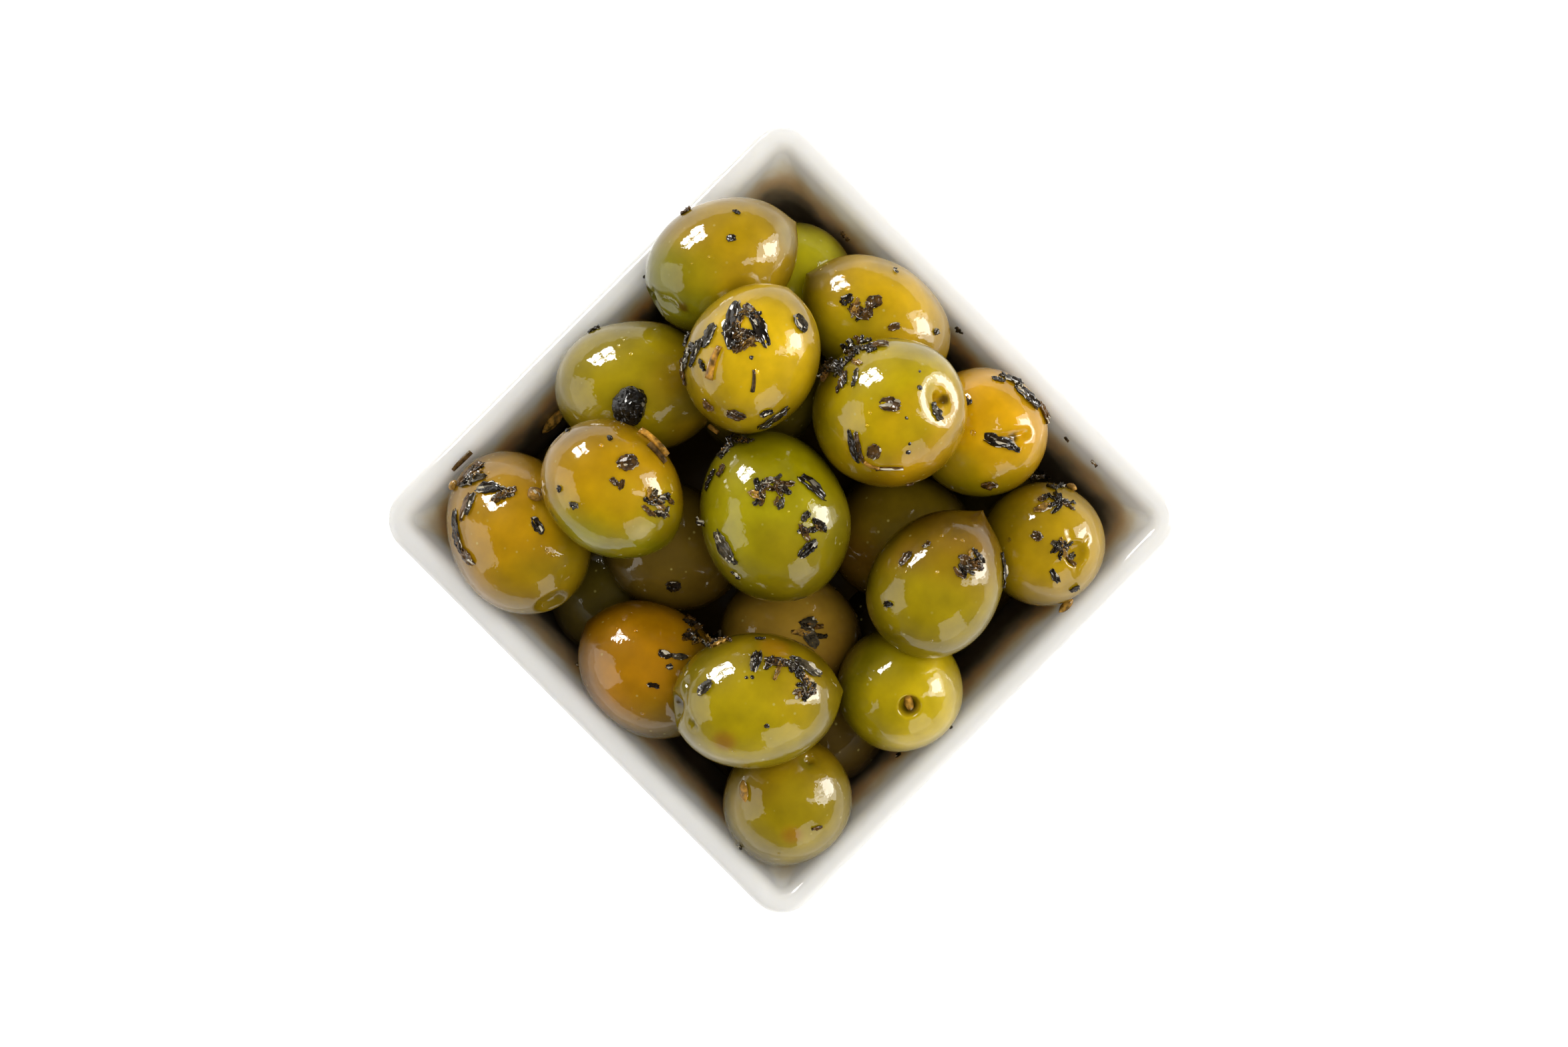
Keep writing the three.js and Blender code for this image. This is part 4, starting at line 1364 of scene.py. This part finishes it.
# %% Herb material
def herb_material(name, facet, tilt, glint_share, gloss):
    """A dried, oiled plant finish of long facets, some painted near white as glints. Its colour and
    grain come with each scrap.
    """
    material, tree, where = new_material(name)
    tint = add_node(tree, "ShaderNodeAttribute", attribute_name="tint").outputs["Color"]
    cloud = add_node(
        tree, "ShaderNodeTexNoise", {"Vector": where, "Scale": 1 / (0.9 * MM), "Detail": 4.0}
    ).outputs[0]
    gain = add_node(
        tree,
        "ShaderNodeMapRange",
        {"Value": cloud, "From Min": 0.35, "From Max": 0.7, "To Min": 0.4, "To Max": 2.2},
    ).outputs[0]
    mottled = add_node(
        tree, "ShaderNodeMix", {0: 1.0, 6: tint, 7: gain}, data_type="RGBA", blend_type="MULTIPLY"
    ).outputs[2]
    grain = add_node(tree, "ShaderNodeAttribute", attribute_name="grain").outputs["Vector"]
    long, wide = facet
    drawn_out = add_node(
        tree,
        "ShaderNodeVectorMath",
        {0: grain, 1: (1 / long, 1 / wide, 1 / wide)},
        operation="MULTIPLY",
    ).outputs[0]
    cells = add_node(
        tree, "ShaderNodeTexVoronoi", {"Vector": drawn_out, "Scale": 1.0}
    ).outputs["Color"]
    lottery = add_node(tree, "ShaderNodeSeparateColor", {0: cells}).outputs["Red"]
    # Painted glint: a share of the facets is painted near white.
    painted_glint = add_node(
        tree,
        "ShaderNodeMapRange",
        {"Value": lottery, "From Min": 1 - glint_share, "From Max": 1.03 - glint_share, "To Max": 0.95},
    ).outputs[0]
    colour = add_node(
        tree, "ShaderNodeMix", {0: painted_glint, 6: mottled, 7: paint("#E6DCC4")}, data_type="RGBA"
    ).outputs[2]
    aside = add_node(
        tree, "ShaderNodeVectorMath", {0: cells, 1: (0.5, 0.5, 0.5)}, operation="SUBTRACT"
    ).outputs[0]
    lean = add_node(
        tree, "ShaderNodeVectorMath", {0: aside, "Scale": tilt}, operation="SCALE"
    ).outputs[0]
    straight = add_node(tree, "ShaderNodeNewGeometry").outputs["Normal"]
    leaning = add_node(tree, "ShaderNodeVectorMath", {0: straight, 1: lean}, operation="ADD")
    facing = add_node(
        tree, "ShaderNodeVectorMath", {0: leaning.outputs[0]}, operation="NORMALIZE"
    ).outputs[0]
    finish_material(
        tree,
        {
            "Base Color": colour,
            "Roughness": 0.6,
            "Specular IOR Level": 0.1,
            "Normal": facing,
            "Coat Weight": gloss,
            "Coat Roughness": 0.08,
            "Coat IOR": 1.5,
            "Coat Normal": facing,
        },
    )
    return material


oiled_leaf = herb_material("oiled_dried_leaf", (1.1, 0.36), 1.5, 0.08, 0.95)
make_piece("herb_leaves", leaf_maker, oiled_leaf)

# %% [markdown]
# ### Stalks, seeds and a peppercorn
#
# Stalks are thin rods that bow a little. Seeds and husks are ribbed ovals, pointed at both
# ends. The one peppercorn is a wrinkled ball.

# %% Rows of stalks and seeds
STALKS = [
    (-9.3, 21.7, 4.6, 1, 64, "tan"), (-4.0, 19.2, 3, 0.5, 88, "brown"),
    (-17.8, 10.6, 5.1, 0.9, -43, "tan"), (-17.4, 9.1, 3.4, 0.8, -44, "brown"),
    (-14.8, 9.2, 2.9, 0.7, -32, "tan"), (-9.3, 12.6, 1.7, 0.7, -5, "tan"),
    (14.9, 7.0, 3.7, 0.5, 10, "brown"), (12.5, 7.6, 2.2, 0.5, -20, "tan"),
    (-43.6, 7.4, 3.6, 0.8, 10, "brown"), (17.7, 5.0, 1, 0.4, 20, "brown"),
]
SEEDS = [
    (-31.9, 14.0, 5, 1.9, 80), (-5.0, -37.6, 3.2, 1.3, -68), (17.6, -25.2, 3.1, 1.25, 100),
    (39.6, -12.2, 2.7, 1.4, 38), (-34.3, 3.2, 2.4, 2, -60), (40.0, 4.2, 1.6, 1.2, -40),
    (-45.2, 4.6, 1.7, 1.3, 10),
]
STALK_TINTS = {"tan": "#A87A2E", "brown": "#4E3818"}
SEED_TINT = "#A67C32"
PEPPERCORN = (-21.0, 16.1, 5.4, 4.4, 70)
PEPPER_TINT = "#17130F"
print(len(STALKS), "stalks and", len(SEEDS), "seeds")

# %% [markdown]
# A seed is a ball that is drawn out, pointed and ribbed by formulas of the angle round it. A
# stalk could be a curve with a thickness, but a circle that is extruded step by step gives a
# closed rod at once.

# %% Shape of seeds and stalks
RIBS_ROUND = 7
SEAT = 0.36
STALK_SIDES = 8
STALK_STEPS = 6


def round_scrap(length, width, height, ribs, point, rough, seed):
    """A ball drawn out to a length, width and height, with ribs along it and a rough skin."""
    scrap = bmesh.new()
    bmesh.ops.create_uvsphere(scrap, u_segments=20, v_segments=14, radius=1.0)
    bmesh.ops.rotate(scrap, verts=scrap.verts, matrix=Matrix.Rotation(math.pi / 2, 3, "Y"))
    for vert in scrap.verts:
        round_it = math.atan2(vert.co.y, vert.co.z)
        slim = (1 - vert.co.x**2) ** point
        lumps = noise.noise(vert.co * 2.6 + Vector((seed,) * 3))
        swell = 1 + ribs * math.cos(RIBS_ROUND * round_it) + rough * lumps
        vert.co = mm(
            vert.co.x * length / 2,
            vert.co.y * slim * swell * width / 2,
            vert.co.z * slim * swell * height / 2 + height * SEAT,
        )
    mark_grain(scrap, seed)
    return scrap


def stalk_scrap(length, width, bow):
    """A thin rod about the origin."""
    scrap = bmesh.new()
    bmesh.ops.create_circle(scrap, cap_ends=True, segments=STALK_SIDES, radius=width / 2 * MM)
    bmesh.ops.rotate(scrap, verts=scrap.verts, matrix=Matrix.Rotation(math.pi / 2, 3, "Y"))
    bmesh.ops.translate(scrap, verts=scrap.verts, vec=mm(-length / 2, 0, width * 0.4))
    end = scrap.faces[:]
    for step in range(STALK_STEPS):
        grown = bmesh.ops.extrude_face_region(scrap, geom=end)["geom"]
        if step:
            bmesh.ops.delete(scrap, geom=end, context="FACES_ONLY")
        end = [part for part in grown if isinstance(part, bmesh.types.BMFace)]
        moved = [part for part in grown if isinstance(part, bmesh.types.BMVert)]
        bmesh.ops.translate(scrap, verts=moved, vec=mm(length / STALK_STEPS, 0, 0))
    for vert in scrap.verts:
        along = vert.co.x / (length / 2 * MM)
        vert.co.y = vert.co.y * (1 - 0.25 * along) + bow * (1 - along * along) * MM
    mark_grain(scrap, bow)
    return scrap


print("a stalk has", STALK_SIDES, "sides")

# %% Make them
PEPPER_ROUGH = 0.16
stalk_maker = new_heap()
for right, up, length, width, heading, tone in STALKS:
    scrap = stalk_scrap(length, width, CHANCE.uniform(-0.3, 0.3))
    drape(scrap, right, up, heading)
    bmesh.ops.recalc_face_normals(scrap, faces=scrap.faces)
    tint_all(scrap, STALK_TINTS[tone])
    add_to(stalk_maker, scrap)
seed_maker = new_heap()
for right, up, length, width, heading in SEEDS:
    scrap = round_scrap(length, width, width * 0.8, 0.06, 0.3, 0.12, right)
    stand(scrap, right, up, heading)
    tint_all(scrap, SEED_TINT)
    add_to(seed_maker, scrap)
right, up, length, width, heading = PEPPERCORN
pepper_maker = round_scrap(length, width, width, 0.0, 0.0, 0.3, 3.0)
for vert in pepper_maker.verts:
    vert.co *= 1 + PEPPER_ROUGH * noise.noise(vert.co / (0.9 * MM))
stand(pepper_maker, right, up, heading)
tint_all(pepper_maker, PEPPER_TINT)
straw = herb_material("oiled_dry_stalk", (1.6, 0.3), 0.5, 0.05, 0.5)
make_piece("herb_stalks", stalk_maker, straw)
make_piece("seeds_and_husks", seed_maker, straw)
black_pepper = herb_material("oiled_black_pepper", (0.4, 0.4), 1.3, 0.02, 0.7)
make_piece("peppercorn", pepper_maker, black_pepper)

# %% [markdown]
# ### Crumbs and drops
#
# Crumbs are small rough balls. Drops of oil are flattened beads, clear and only just yellow.

# %% Rows of crumbs and drops
CRUMBS = [
    # right, up, size
    (-4.2, 22.4, 0.6), (-23.8, 11.2, 0.9), (-29.6, 12.3, 1), (19.1, 18.3, 0.8),
    (19.1, 20.5, 0.4), (17.5, 9.3, 0.7), (17.7, 10.5, 0.5), (17.3, 14.0, 0.5),
    (-2.1, -28.6, 0.7), (-19.0, 33.6, 0.6), (-4.1, -21.8, 0.6), (-4.9, -21.9, 0.5),
]
DROPS = [
    (8.6, 33.6, 0.5), (9.1, 32.0, 0.8), (-10.1, 36.4, 0.4), (-12.5, 35.5, 0.3),
    (22.1, -2.3, 0.6), (24.0, -2.7, 0.5), (25.0, -2.9, 0.6), (20.8, -3.9, 0.4),
    (20.7, -16.8, 0.5), (-6.7, -32.0, 0.5), (-0.4, -46.2, 0.5), (0.9, 1.1, 0.4),
    (26.5, 12.0, 0.9), (-19.3, -26.8, 0.6), (-20.7, -26.2, 0.4), (-19.8, -27.6, 0.4),
    (10.2, -13.3, 0.8), (31.5, -2.8, 0.6), (-3.5, 20.5, 0.8), (-22.6, 24.0, 0.6),
    (-20.9, 22.9, 0.6), (-21.9, 24.8, 0.4), (7.1, 19.2, 0.4), (11.8, 13.1, 0.5),
    (-5.0, 4.2, 0.5), (2.9, -22.0, 0.5), (-0.8, -20.8, 0.5), (-15.3, 3.7, 0.5),
    (-25.0, 10.2, 0.7), (-40.6, 6.4, 0.4), (17.2, -7.2, 0.4), (21.5, -7.3, 0.6),
    (-32.5, -4.3, 0.6), (-33.3, -3.7, 0.4), (-31.8, -5.0, 0.4), (-20.2, -15.4, 0.5),
    (-22.8, -15.0, 0.4), (12.2, 14.8, 0.5), (16.1, 14.8, 0.5), (7.9, 32.9, 0.4),
    (7.5, 34.4, 0.4), (6.2, 35.3, 0.6), (5.4, 34.6, 0.6),
]
print(len(CRUMBS), "crumbs and", len(DROPS), "drops")

# %% Make the crumbs
CRUMB_ROUGH = 0.5
SQUAT = 0.7
crumb_maker = new_heap()
for right, up, size in CRUMBS:
    crumb = bmesh.new()
    bmesh.ops.create_icosphere(crumb, subdivisions=2, radius=size / 2 * MM)
    for vert in crumb.verts:
        vert.co *= 1 + CRUMB_ROUGH * noise.noise(vert.co / (0.4 * MM) + Vector((right, up, 0)))
        vert.co.z *= SQUAT
    mark_grain(crumb, right)
    stand(crumb, right, up, 0)
    tint_all(crumb, LEAF_TINTS["dark"])
    add_to(crumb_maker, crumb)
make_piece("herb_crumbs", crumb_maker, oiled_leaf)

# %% Make the drops of oil
drop_maker = bmesh.new()
for right, up, size in DROPS:
    drop = bmesh.new()
    bmesh.ops.create_icosphere(drop, subdivisions=2, radius=size / 2 * MM)
    bmesh.ops.scale(drop, vec=(1, 1, SQUAT), verts=drop.verts)
    stand(drop, right, up, 0)
    add_to(drop_maker, drop)
clear_oil, tree, where = new_material("clear_olive_oil")
thick = add_node(tree, "ShaderNodeTexNoise", {"Vector": where, "Scale": 1 / (3 * MM)}).outputs[0]
oil_tint = add_node(
    tree, "ShaderNodeMix", {0: thick, 6: paint("#FFF6C8"), 7: paint("#FFFBE4")}, data_type="RGBA"
).outputs[2]
finish_material(
    tree, {"Base Color": oil_tint, "Roughness": 0.02, "IOR": 1.47, "Transmission Weight": 1.0}
)
make_piece("oil_drops", drop_maker, clear_oil)
